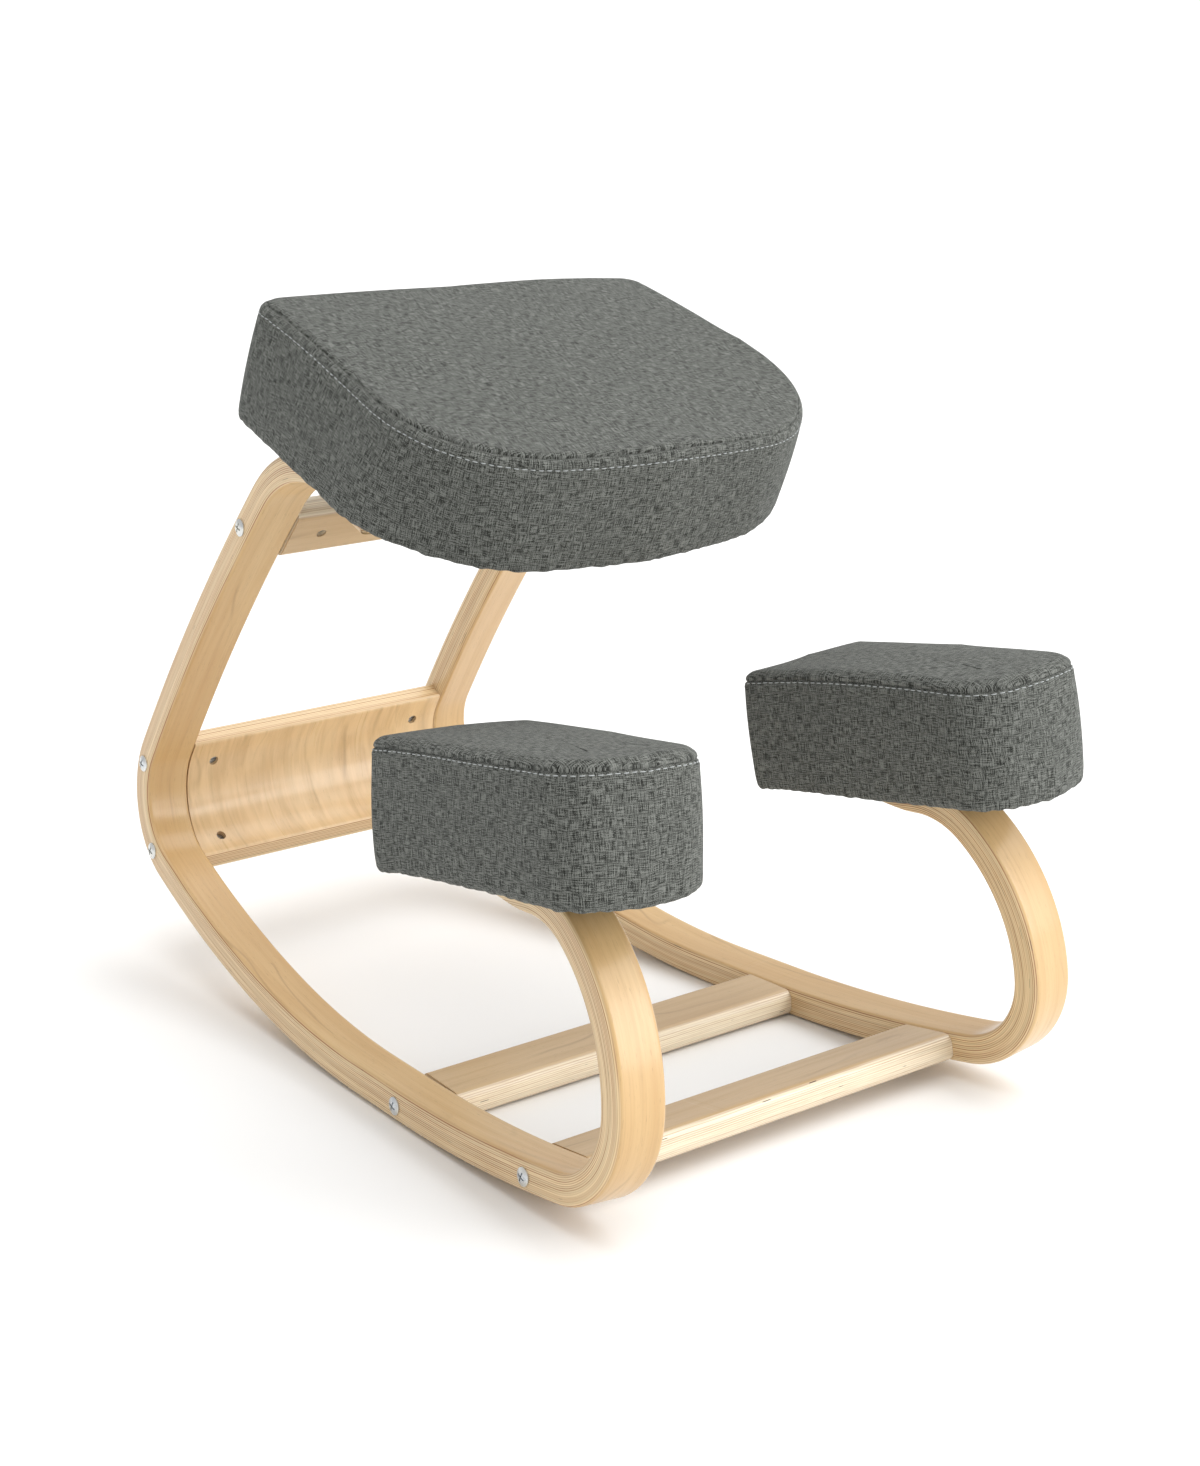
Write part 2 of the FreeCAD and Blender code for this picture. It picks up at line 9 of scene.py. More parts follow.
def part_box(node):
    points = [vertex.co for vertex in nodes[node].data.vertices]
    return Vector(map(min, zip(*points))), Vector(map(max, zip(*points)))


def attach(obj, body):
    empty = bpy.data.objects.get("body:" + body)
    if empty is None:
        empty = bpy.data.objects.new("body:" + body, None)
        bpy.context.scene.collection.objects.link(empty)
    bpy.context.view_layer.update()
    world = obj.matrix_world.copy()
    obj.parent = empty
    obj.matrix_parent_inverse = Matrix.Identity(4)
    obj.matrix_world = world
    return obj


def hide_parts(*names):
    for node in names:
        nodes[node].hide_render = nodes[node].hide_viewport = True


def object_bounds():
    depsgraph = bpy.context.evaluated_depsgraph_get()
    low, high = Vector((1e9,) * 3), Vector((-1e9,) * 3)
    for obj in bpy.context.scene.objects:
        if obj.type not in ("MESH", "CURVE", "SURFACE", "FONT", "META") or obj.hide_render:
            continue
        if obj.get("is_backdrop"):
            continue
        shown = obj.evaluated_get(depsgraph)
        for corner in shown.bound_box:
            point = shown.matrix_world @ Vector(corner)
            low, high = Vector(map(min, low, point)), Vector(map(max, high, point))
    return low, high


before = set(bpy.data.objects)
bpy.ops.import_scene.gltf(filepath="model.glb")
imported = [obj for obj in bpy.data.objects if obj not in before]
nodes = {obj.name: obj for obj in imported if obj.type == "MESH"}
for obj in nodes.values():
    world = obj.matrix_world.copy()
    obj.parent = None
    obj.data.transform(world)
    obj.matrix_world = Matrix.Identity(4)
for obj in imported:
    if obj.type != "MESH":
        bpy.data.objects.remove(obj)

CAD_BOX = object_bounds()
MM = 0.001
rad = math.radians
scene = bpy.context.scene
scene.view_settings.view_transform = "Standard"
scene.view_settings.look = "None"

# ------------------------------------------------------------------ dimensions shared with the CAD model (mm, degrees)
GAUGE_WIDTH, SPLAY, LEAN = 400.0, rad(3.7), rad(3.5)
STRIP_W, STRIP_T, STRIP_EDGE_R, ARM_TIP_T = 38.0, 23.5, 4.0, 12.0
BASE_Z, HEAD = 1.3, 179.83
FORWARD = [(209.3, -9.20), (101.0, -84.96), (123.0, -50.30), (54.2, -43.47), (48.0, 0.0)]
REARWARD = [(60.0, 0.0), (152.5, 12.04), (188.2, 11.58), (112.2, 99.31), (308.2, 9.63), (115.2, 65.61), (58.0, 0.0)]
REST_TILT = rad(0.17)
SHIFT = Vector((0.0, -79.87876, 12.51582))
SEAT_TILT, SEAT_REAR_Y, SEAT_REAR_Z = rad(18.0), 232.8, 485.9
PAD_TILT, PAD_AT, PAD_DEPTH = rad(8.1), (-155.2, 218.4), 232.8
RAIL_TILTS = {"rear_lower_rail": 1.5, "front_lower_rail": -7.5, "upper_cross_rail": 130.5}
RAIL_BOLTS = {"upper_cross_rail": (257.0, 384.2)}
RAIL_AT = {"rear_lower_rail": (-4.3, -0.25), "front_lower_rail": (-173.2, 11.04)}

REST = Matrix.Translation(SHIFT * MM) @ Matrix.Rotation(REST_TILT, 4, "X") @ Matrix.Scale(MM, 4)
_e1 = Vector((math.sin(SPLAY), math.cos(SPLAY), 0))
_e2 = Vector((math.sin(LEAN), 0, math.cos(LEAN)))
_e2 = (_e2 - _e1 * _e2.dot(_e1)).normalized()
_n = _e1.cross(_e2)
FM = Matrix(((_e1.x, _e2.x, _n.x, -GAUGE_WIDTH / 2), (_e1.y, _e2.y, _n.y, 0), (_e1.z, _e2.z, _n.z, 0), (0, 0, 0, 1)))
_s, _c = math.sin(SEAT_TILT), math.cos(SEAT_TILT)
SEAT_M = REST @ Matrix(((1, 0, 0, 0), (0, _c, -_s, SEAT_REAR_Y), (0, _s, _c, SEAT_REAR_Z), (0, 0, 0, 1)))
_s, _c = math.sin(PAD_TILT), math.cos(PAD_TILT)
PAD_M = REST @ FM @ Matrix(((0, _c, _s, PAD_AT[0] + _c * PAD_DEPTH / 2), (0, -_s, _c, PAD_AT[1] - _s * PAD_DEPTH / 2),
                            (1, 0, 0, STRIP_W / 2), (0, 0, 0, 1)))
MIRROR = Matrix.Diagonal((-1, 1, 1, 1))

# ------------------------------------------------------------------ camera, at the photograph's angle
az, el = rad(-38.4477), rad(16.2852)
back = Vector((math.sin(az) * math.cos(el), -math.cos(az) * math.cos(el), math.sin(el)))
right = Vector((math.cos(az), math.sin(az), 0))
up = back.cross(right)
eye = Vector((-1473.786, -1842.556, 999.403)) * 0.8
turn = Matrix((right, up, back)).transposed().to_4x4()
cam_data = bpy.data.cameras.new("camera")
cam = bpy.data.objects.new("camera", cam_data)
scene.collection.objects.link(cam)
cam_data.sensor_width = 36.0
cam_data.lens = 2629.16 * 36.0 / 1466.0
cam_data.clip_start, cam_data.clip_end = 0.05, 1000.0
cam.matrix_world = Matrix.Translation(REST @ eye) @ Matrix.Rotation(REST_TILT, 4, "X") @ turn
scene.camera = cam


# ------------------------------------------------------------------ small helpers
def new_object(name, verts, faces, mat=None, smooth=True):
    me = bpy.data.meshes.new(name)
    me.from_pydata([tuple(v) for v in verts], [], [tuple(f) for f in faces])
    me.validate()
    me.update()
    if smooth:
        me.shade_smooth()
    ob = bpy.data.objects.new(name, me)
    scene.collection.objects.link(ob)
    if mat:
        me.materials.append(mat)
    return ob


def vector_attribute(me, name, values, domain="POINT"):
    a = me.attributes.new(name, "FLOAT_VECTOR", domain)
    a.data.foreach_set("vector", np.asarray(values, np.float32).ravel())


def fbm(p, octaves=3):
    """Seeded smooth noise, about -1 to 1."""
    v, a, t = 0.0, 1.0, 0.0
    for i in range(octaves):
        v += a * noise.noise(Vector(p) * (2 ** i) + Vector((17.3 * i, -9.1 * i, 4.7 * i)))
        t += a
        a *= 0.5
    return v / t


# ------------------------------------------------------------------ shader building
class Nodes:
    def __init__(self, name):
        self.mat = bpy.data.materials.new(name)
        self.mat.use_nodes = True
        self.t = self.mat.node_tree
        self.t.nodes.clear()
        self.out = self.t.nodes.new("ShaderNodeOutputMaterial")
        self.bsdf = self.t.nodes.new("ShaderNodeBsdfPrincipled")
        self.t.links.new(self.bsdf.outputs[0], self.out.inputs[0])

    def n(self, kind, **props):
        node = self.t.nodes.new("ShaderNode" + kind)
        for k, v in props.items():
            setattr(node, k, v)
        return node

    def put(self, socket, value):
        if isinstance(value, bpy.types.NodeSocket):
            self.t.links.new(value, socket)
        elif value is not None:
            socket.default_value = value

    def math(self, op, a, b=None, c=None, clamp=False):
        m = self.n("Math", operation=op)
        m.use_clamp = clamp
        for i, v in enumerate((a, b, c)):
            if v is not None:
                self.put(m.inputs[i], v)
        return m.outputs[0]

    def vmath(self, op, a, b=None, scale=None):
        m = self.n("VectorMath", operation=op)
        self.put(m.inputs[0], a)
        if b is not None:
            self.put(m.inputs[1], b)
        if scale is not None:
            self.put(m.inputs["Scale"], scale)
        return m.outputs[0]

    def split(self, v):
        s = self.n("SeparateXYZ")
        self.put(s.inputs[0], v)
        return s.outputs

    def join(self, x, y, z):
        s = self.n("CombineXYZ")
        for i, v in enumerate((x, y, z)):
            self.put(s.inputs[i], v)
        return s.outputs[0]

    def noise(self, vec, scale=1.0, detail=2.0, rough=0.5, distortion=0.0, dims="3D"):
        t = self.n("TexNoise", noise_dimensions=dims)
        if dims == "1D":
            self.put(t.inputs["W"], vec)
        else:
            self.put(t.inputs["Vector"], vec)
        t.inputs["Scale"].default_value = scale
        t.inputs["Detail"].default_value = detail
        t.inputs["Roughness"].default_value = rough
        t.inputs["Distortion"].default_value = distortion
        return t.outputs[0]

    def ramp(self, value, lo, hi, out_lo=0.0, out_hi=1.0):
        m = self.n("MapRange", interpolation_type="SMOOTHSTEP")
        for k, v in zip(("Value", "From Min", "From Max", "To Min", "To Max"), (value, lo, hi, out_lo, out_hi)):
            self.put(m.inputs[k], v)
        return m.outputs[0]

    def mix(self, f, a, b, mode="MIX"):
        m = self.n("Mix", data_type="RGBA", blend_type=mode)
        self.put(m.inputs[0], f)
        for s, v in ((m.inputs[6], a), (m.inputs[7], b)):
            self.put(s, v if isinstance(v, bpy.types.NodeSocket) or v is None else (*v, 1.0))
        return m.outputs[2]

    def bump(self, height, distance, strength=1.0, normal=None):
        b = self.n("Bump")
        b.inputs["Strength"].default_value = strength
        b.inputs["Distance"].default_value = distance
        self.put(b.inputs["Height"], height)
        if normal is not None:
            self.put(b.inputs["Normal"], normal)
        return b.outputs[0]


def wood(name, coord, face, dark, edge, line, half_t, seed=0.0, ply=0.00147, glue=1.0, gap=0.5, roughness=0.36,
         streak=1.0, cross_figure=0.0, gloss=0.5):
    """Laminated wood. coord(N) gives (along the grain, through the plies, across) in metres."""
    N = Nodes(name)
    c = N.vmath("ADD", coord(N), (seed * 1.37, 0.0, seed * 0.71))
    s, v, w = N.split(c)
    # fine long grain, pores and slow tone changes on the face veneer
    fine = N.noise(N.join(N.math("MULTIPLY", s, 14.0), N.math("MULTIPLY", v, 300.0), N.math("MULTIPLY", w, 900.0)), 1.0, 4.0, 0.6)
    mid = N.noise(N.join(N.math("MULTIPLY", s, 5.0), N.math("MULTIPLY", v, 60.0), N.math("MULTIPLY", w, 140.0)), 1.0, 3.0, 0.55, 0.4)
    slow = N.noise(N.join(N.math("MULTIPLY", s, 3.2), N.math("MULTIPLY", v, 20.0), N.math("MULTIPLY", w, 16.0)), 1.0, 2.0)
    # growth-ring figure: thin curved lines
    ring_in = N.math("ADD", N.math("MULTIPLY", w, 34.0), N.math("MULTIPLY", N.noise(N.join(N.math("MULTIPLY", s, 4.5), N.math("MULTIPLY", v, 8.0),
                     N.math("MULTIPLY", w, 9.0)), 1.0, 2.0, 0.5, 0.8), 3.4))
    ring = N.math("ABSOLUTE", N.math("SUBTRACT", N.math("FRACT", ring_in), 0.5))
    ring = N.ramp(ring, 0.0, 0.10, 1.0, 0.0)
    ring = N.math("MULTIPLY", ring, N.ramp(N.noise(N.join(N.math("MULTIPLY", s, 9.0), 0.0, N.math("MULTIPLY", w, 30.0)), 1.0, 1.0), 0.48, 0.66))
    fleck = N.noise(N.join(N.math("MULTIPLY", s, 130.0), N.math("MULTIPLY", v, 400.0), N.math("MULTIPLY", w, 1500.0)), 1.0, 2.0, 0.6)
    fleck = N.ramp(fleck, 0.62, 0.74)
    col = N.mix(N.ramp(slow, 0.3, 0.7), face, tuple(0.5 * a + 0.5 * b for a, b in zip(face, dark)))
    col = N.mix(N.math("MULTIPLY", N.ramp(mid, 0.35, 0.75), 0.45 * streak), col, dark)
    col = N.mix(N.math("MULTIPLY", N.ramp(fine, 0.45, 0.8), 0.30 * streak), col, tuple(0.75 * x for x in dark))
    col = N.mix(N.math("MULTIPLY", ring, 0.42 * streak), col, tuple(0.62 * x for x in dark))
    col = N.mix(N.math("MULTIPLY", fleck, 0.35 * streak), col, tuple(0.45 * x for x in dark))
    if cross_figure:
        fig = N.noise(N.join(N.math("MULTIPLY", s, 18.0), N.math("MULTIPLY", v, 10.0), N.math("MULTIPLY", w, 95.0)), 1.0, 2.5, 0.55, 0.5)
        col = N.mix(N.math("MULTIPLY", N.ramp(fig, 0.36, 0.66), cross_figure), col, tuple(min(1.0, 1.18 * x) for x in face))
    # plies, which show wherever a cut crosses them
    wob = N.math("MULTIPLY", N.math("SUBTRACT", N.noise(N.math("MULTIPLY", s, 1.0), 9.0, 2.0, 0.5, 0.0, "1D"), 0.5), 0.0009)
    vp = N.math("DIVIDE", N.math("ADD", N.math("ADD", v, wob), half_t), ply)
    idx = N.math("FLOOR", vp)
    fr = N.math("FRACT", vp)
    tone = N.n("TexWhiteNoise", noise_dimensions="1D")
    N.put(tone.inputs["W"], N.math("ADD", idx, seed * 3.1 + 0.37))
    tone_v = tone.outputs[0]
    edge_fine = N.noise(N.join(N.math("MULTIPLY", s, 34.0), N.math("MULTIPLY", v, 2600.0), N.math("MULTIPLY", w, 60.0)), 1.0, 3.0, 0.6)
    ecol = N.mix(tone_v, edge, tuple(0.84 * x for x in edge))
    ecol = N.mix(N.math("MULTIPLY", N.ramp(edge_fine, 0.42, 0.75), 0.38), ecol, dark)
    at_line = N.math("MINIMUM", fr, N.math("SUBTRACT", 1.0, fr))
    lw = N.ramp(at_line, 0.08, 0.32, 1.0, 0.0)
    strength = N.noise(N.join(N.math("MULTIPLY", s, 7.0), N.math("MULTIPLY", N.math("ROUND", vp), 7.7), seed), 1.0, 2.0, 0.6)
    strength = N.ramp(strength, 0.38, 0.62, 0.22, 1.0)
    ecol = N.mix(N.math("MULTIPLY", N.math("MULTIPLY", lw, strength), min(1.0, 1.0 * glue)), ecol, line)
    band = N.noise(N.join(N.math("MULTIPLY", s, 2.0), N.math("MULTIPLY", N.math("ROUND", N.math("MULTIPLY", vp, 0.5)), 5.3), seed + 3.0), 1.0, 1.0)
    ecol = N.mix(N.math("MULTIPLY", N.ramp(band, 0.52, 0.68), 0.55 * glue), ecol, tuple(0.5 * a + 0.5 * b for a, b in zip(line, edge)))
    hole = N.noise(N.join(N.math("MULTIPLY", s, 42.0), N.math("MULTIPLY", N.math("ROUND", vp), 9.1), seed + 9.0), 1.0, 1.0, 0.5)
    hole = N.math("MULTIPLY", N.ramp(hole, 0.715, 0.745), N.ramp(at_line, 0.10, 0.22, 1.0, 0.0))
    ecol = N.mix(N.math("MULTIPLY", hole, gap), ecol, (0.05, 0.022, 0.010))
    # how far inside the outer ply: 0 on the face, 1 in the plies
    depth = N.math("SUBTRACT", half_t, N.math("ABSOLUTE", v))
    inside = N.ramp(depth, 0.0007, 0.0013)
    col = N.mix(inside, col, ecol)
    N.put(N.bsdf.inputs["Base Color"], col)
    r = N.math("ADD", roughness, N.math("MULTIPLY", N.math("SUBTRACT", mid, 0.5), 0.16))
    r = N.math("ADD", r, N.math("MULTIPLY", inside, 0.12), clamp=True)
    N.put(N.bsdf.inputs["Roughness"], r)
    N.bsdf.inputs["Specular IOR Level"].default_value = gloss
    N.bsdf.inputs["Coat Weight"].default_value = 0.5
    N.bsdf.inputs["Coat Roughness"].default_value = 0.22
    h = N.math("ADD", N.math("MULTIPLY", fine, 0.5), N.math("MULTIPLY", fleck, -0.7))
    h = N.math("SUBTRACT", h, N.math("MULTIPLY", N.math("MULTIPLY", lw, inside), 1.2))
    h = N.math("SUBTRACT", h, N.math("MULTIPLY", hole, 4.0 * gap))
    N.put(N.bsdf.inputs["Normal"], N.bump(h, 0.00010, 0.5))
    return N.mat


def ply_coord(N):
    a = N.n("Attribute", attribute_name="ply")
    return a.outputs["Vector"]


def rail_coord(tilt_deg, center):
    def f(N):
        o = N.n("TexCoord").outputs["Object"]
        t = rad(tilt_deg) + REST_TILT
        rel = N.vmath("SUBTRACT", o, tuple(center))
        along_y = N.n("VectorMath", operation="DOT_PRODUCT")
        N.put(along_y.inputs[0], rel)
        along_y.inputs[1].default_value = (0, math.cos(t), math.sin(t))
        thick = N.n("VectorMath", operation="DOT_PRODUCT")
        N.put(thick.inputs[0], rel)
        thick.inputs[1].default_value = (0, -math.sin(t), math.cos(t))
        x = N.split(rel)[0]
        return N.join(x, thick.outputs["Value"], along_y.outputs["Value"])
    return f


def fabric(name, seed=0.0, tone=1.0):
    """Grey melange cloth, plain weave with slubs both ways; reads the cloth attribute, in metres."""
    N = Nodes(name)
    a = N.n("Attribute", attribute_name="cloth")
    c = N.vmath("ADD", a.outputs["Vector"], (seed * 0.77, seed * 0.31, 0.0))
    u, v, _ = N.split(c)
    # the threads wander a little
    du = N.math("MULTIPLY", N.math("SUBTRACT", N.noise(N.join(N.math("MULTIPLY", u, 30.0), N.math("MULTIPLY", v, 30.0), 1.0), 1.0, 2.0), 0.5), 0.006)
    dv = N.math("MULTIPLY", N.math("SUBTRACT", N.noise(N.join(N.math("MULTIPLY", u, 30.0), N.math("MULTIPLY", v, 30.0), 7.0), 1.0, 2.0), 0.5), 0.006)
    u = N.math("ADD", u, du)
    v = N.math("ADD", v, dv)
    pitch = 0.00084
    uu, vv = N.math("DIVIDE", u, pitch), N.math("DIVIDE", v, pitch)
    # yarn-by-yarn melange: strong across the yarns, slow along them
    yarn_a = N.noise(N.join(N.math("MULTIPLY", uu, 1.7), N.math("MULTIPLY", vv, 0.11), 3.0), 1.0, 1.0, 0.5)
    yarn_b = N.noise(N.join(N.math("MULTIPLY", uu, 0.11), N.math("MULTIPLY", vv, 1.7), 11.0), 1.0, 1.0, 0.5)
    slub_a = N.noise(N.join(N.math("MULTIPLY", uu, 1.15), N.math("MULTIPLY", vv, 0.055), 23.0), 1.0, 1.0, 0.5)
    slub_b = N.noise(N.join(N.math("MULTIPLY", uu, 0.055), N.math("MULTIPLY", vv, 1.15), 31.0), 1.0, 1.0, 0.5)
    grit = N.noise(N.join(N.math("MULTIPLY", uu, 1.5), N.math("MULTIPLY", vv, 1.5), 5.0), 1.0, 2.0, 0.7)
    cell_u = N.math("SINE", N.math("MULTIPLY", uu, math.pi))
    cell_v = N.math("SINE", N.math("MULTIPLY", vv, math.pi))
    over = N.math("MULTIPLY", cell_u, cell_v)                 # + where the warp is on top, - where the weft is
    over01 = N.ramp(over, -0.25, 0.25)
    yarn = N.math("ADD", N.math("MULTIPLY", yarn_a, over01), N.math("MULTIPLY", yarn_b, N.math("SUBTRACT", 1.0, over01)))
    both = N.math("ADD", N.math("MULTIPLY", yarn_a, 0.5), N.math("MULTIPLY", yarn_b, 0.5))
    mixv = N.math("ADD", N.math("MULTIPLY", yarn, 0.45), N.math("MULTIPLY", both, 0.55))
    mixv = N.math("ADD", mixv, N.math("MULTIPLY", N.math("SUBTRACT", grit, 0.5), 0.22))
    light = N.ramp(mixv, 0.425, 0.585)
    col = N.mix(light, tuple(tone * x for x in (0.018, 0.019, 0.016)), tuple(tone * x for x in (0.192, 0.199, 0.182)))
    ls = N.math("MAXIMUM", N.ramp(slub_a, 0.66, 0.76), N.ramp(slub_b, 0.66, 0.76))
    ds = N.math("MAXIMUM", N.ramp(slub_a, 0.36, 0.27), N.ramp(slub_b, 0.36, 0.27))
    col = N.mix(N.math("MULTIPLY", ls, 0.34), col, tuple(tone * x for x in (0.270, 0.278, 0.258)))
    col = N.mix(N.math("MULTIPLY", ds, 0.42), col, tuple(tone * x for x in (0.016, 0.017, 0.015)))
    blot = N.noise(N.join(u, v, 2.0), 16.0, 2.0)
    col = N.mix(N.math("MULTIPLY", N.ramp(blot, 0.35, 0.7), 0.12), col, tuple(tone * x for x in (0.055, 0.058, 0.052)))
    N.put(N.bsdf.inputs["Base Color"], col)
    N.bsdf.inputs["Roughness"].default_value = 0.92
    N.bsdf.inputs["Specular IOR Level"].default_value = 0.18
    N.bsdf.inputs["Sheen Weight"].default_value = 0.12
    N.bsdf.inputs["Sheen Roughness"].default_value = 0.5
    N.bsdf.inputs["Sheen Tint"].default_value = (0.75, 0.78, 0.76, 1)
    h = N.math("ADD", N.math("MULTIPLY", N.math("ABSOLUTE", over), 0.8), N.math("MULTIPLY", yarn, 0.7))
    h = N.math("ADD", h, N.math("MULTIPLY", ls, 0.7))
    N.put(N.bsdf.inputs["Normal"], N.bump(h, 0.00028, 0.55))
    return N.mat


def thread(name):
    N = Nodes(name)
    o = N.n("TexCoord").outputs["Object"]
    t = N.noise(o, 900.0, 2.0)
    N.put(N.bsdf.inputs["Base Color"], N.mix(t, (0.30, 0.32, 0.32), (0.52, 0.54, 0.54)))
    N.bsdf.inputs["Roughness"].default_value = 0.7
    N.bsdf.inputs["Specular IOR Level"].default_value = 0.3
    N.put(N.bsdf.inputs["Normal"], N.bump(N.noise(o, 2400.0, 1.0), 0.0001, 0.5))
    return N.mat


def zinc(name, dark=1.0):
    N = Nodes(name)
    o = N.n("TexCoord").outputs["Object"]
    t = N.noise(o, 420.0, 3.0, 0.6)
    t2 = N.noise(o, 90.0, 2.0)
    col = N.mix(N.ramp(t2, 0.3, 0.7), tuple(dark * x for x in (0.60, 0.63, 0.66)), tuple(dark * x for x in (0.74, 0.73, 0.68)))
    N.put(N.bsdf.inputs["Base Color"], N.mix(N.math("MULTIPLY", N.ramp(t, 0.5, 0.8), 0.4), col, tuple(dark * x for x in (0.42, 0.43, 0.44))))
    N.bsdf.inputs["Metallic"].default_value = 1.0
    N.put(N.bsdf.inputs["Roughness"], N.ramp(t, 0.2, 0.8, 0.24, 0.44))
    N.put(N.bsdf.inputs["Normal"], N.bump(t, 0.00006, 0.4))
    return N.mat


def nonwoven(name):
    N = Nodes(name)
    o = N.n("TexCoord").outputs["Object"]
    v = N.n("TexVoronoi", feature="F1")
    N.put(v.inputs["Vector"], o)
    v.inputs["Scale"].default_value = 520.0
    fib = N.noise(o, 1400.0, 3.0, 0.7, 1.5)
    col = N.mix(N.ramp(fib, 0.35, 0.7), (0.012, 0.012, 0.013), (0.040, 0.040, 0.042))
    N.put(N.bsdf.inputs["Base Color"], col)
    N.bsdf.inputs["Roughness"].default_value = 0.85
    h = N.math("ADD", N.ramp(v.outputs["Distance"], 0.1, 0.45), N.math("MULTIPLY", fib, 0.4))
    N.put(N.bsdf.inputs["Normal"], N.bump(h, 0.0002, 0.6))
    return N.mat


def foam_look(name):
    N = Nodes(name)
    o = N.n("TexCoord").outputs["Object"]
    t = N.noise(o, 700.0, 2.0)
    N.put(N.bsdf.inputs["Base Color"], N.mix(t, (0.62, 0.57, 0.42), (0.78, 0.74, 0.60)))
    N.bsdf.inputs["Roughness"].default_value = 0.95
    N.put(N.bsdf.inputs["Normal"], N.bump(t, 0.0003, 0.6))
    return N.mat


# ------------------------------------------------------------------ centre line of the side frames, in their own plane
def runs():
    fwd, rear = [], []
    for segs, h0, out in ((FORWARD, HEAD, fwd), (REARWARD, HEAD - 180.0, rear)):
        y, z, h = 0.0, BASE_Z, rad(h0)
        for length, t in segs:
            k = rad(t) / length
            out.append((y, z, h, length, k))
            if abs(k) < 1e-9:
                y += math.cos(h) * length
                z += math.sin(h) * length
            else:
                y += (math.sin(h + k * length) - math.sin(h)) / k
                z += (-math.cos(h + k * length) + math.cos(h)) / k
                h += k * length
    return fwd, rear


FWD, REAR = runs()


def at(run, s):
    y, z, h, length, k = run
    if abs(k) < 1e-9:
        return y + math.cos(h) * s, z + math.sin(h) * s, h
    hh = h + k * s
    return y + (math.sin(hh) - math.sin(h)) / k, z + (-math.cos(hh) + math.cos(h)) / k, hh


def stations():
    """(a, b, inward normal, distance) from the end of the seat arm to the end of the hook."""
    out, dist = [], 0.0
    for r in reversed(REAR):
        n = max(2, int(r[3] / 5.0), int(abs(math.degrees(r[4] * r[3])) / 1.4))
        for i in range(n):
            s = r[3] * (1 - i / n)
            a, b, h = at(r, s)
            out.append((a, b, (-math.sin(h), math.cos(h)), dist + r[3] * i / n))
        dist += r[3]
    for j, r in enumerate(FWD):
        n = max(2, int(r[3] / 5.0), int(abs(math.degrees(r[4] * r[3])) / 1.4))
        for i in range(n + (1 if j == len(FWD) - 1 else 0)):
            s = r[3] * i / n
            a, b, h = at(r, s)
            out.append((a, b, (math.sin(h), -math.cos(h)), dist + s))
        dist += r[3]
    return out


STATIONS = stations()


def section(inset=0.0):
    """Rounded rectangle of the strip: (through the plies, across)."""
    t, w0, w1, r = STRIP_T / 2 - inset, inset, STRIP_W - inset, max(STRIP_EDGE_R - inset, 0.5)
    pts = []
    for cx, cy, a0 in ((t - r, w1 - r, 0), (-t + r, w1 - r, 90), (-t + r, w0 + r, 180), (t - r, w0 + r, 270)):
        for i in range(6):
            a = rad(a0 + 90 * i / 5)
            pts.append((cx + r * math.cos(a), cy + r * math.sin(a)))
    # extra points along the flats keep the quads near square
    out = []
    for i, p in enumerate(pts):
        q = pts[(i + 1) % len(pts)]
        out.append(p)
        d = math.hypot(q[0] - p[0], q[1] - p[1])
        n = int(d // 6)
        for j in range(1, n + 1):
            out.append((p[0] + (q[0] - p[0]) * j / (n + 1), p[1] + (q[1] - p[1]) * j / (n + 1)))
    return out


def side_frame(name, mat, mirror):
    base = section()
    m = len(base)
    rows = [(STATIONS[0], section(0.8), 0.0)] + [(s, base, 0.0) for s in STATIONS] + [(STATIONS[-1], section(0.8), 0.0)]
    rows[1] = (STATIONS[0], base, 0.8)
    rows[-2] = (STATIONS[-1], base, -0.8)
    verts, attr = [], []
    for (a, b, (na, nb), dist), sec, slide in rows:
        ta, tb = nb, -na                      # along the travel
        arm = max(0.0, dist - STATIONS[-1][3] + FORWARD[-1][0])
        limit = STRIP_T / 2 - (STRIP_T - ARM_TIP_T) * arm / FORWARD[-1][0]
        for v, w in sec:
            v = max(min(v, limit), -11.1 if arm > 0 else -99.0)
            verts.append(FM @ Vector((a + na * v + ta * slide, b + nb * v + tb * slide, w)))
            attr.append((dist * MM, v * MM, w * MM))
    faces = []
    for i in range(len(rows) - 1):
        for j in range(m):
            k = (j + 1) % m
            faces.append((i * m + j, i * m + k, (i + 1) * m + k, (i + 1) * m + j))
    faces.append(tuple(reversed(range(m))))
    faces.append(tuple((len(rows) - 1) * m + j for j in range(m)))
    M = (MIRROR @ REST) if mirror else REST
    ob = new_object(name, [M @ p for p in verts], faces, mat)
    vector_attribute(ob.data, "ply", attr)
    fix_normals(ob)
    wn = ob.modifiers.new("even", "WEIGHTED_NORMAL")
    wn.mode = "FACE_AREA"
    wn.weight = 50
    return ob


def fix_normals(ob):
    bm = bmesh.new()
    bm.from_mesh(ob.data)
    bmesh.ops.recalc_face_normals(bm, faces=bm.faces)
    bm.to_mesh(ob.data)
    bm.free()


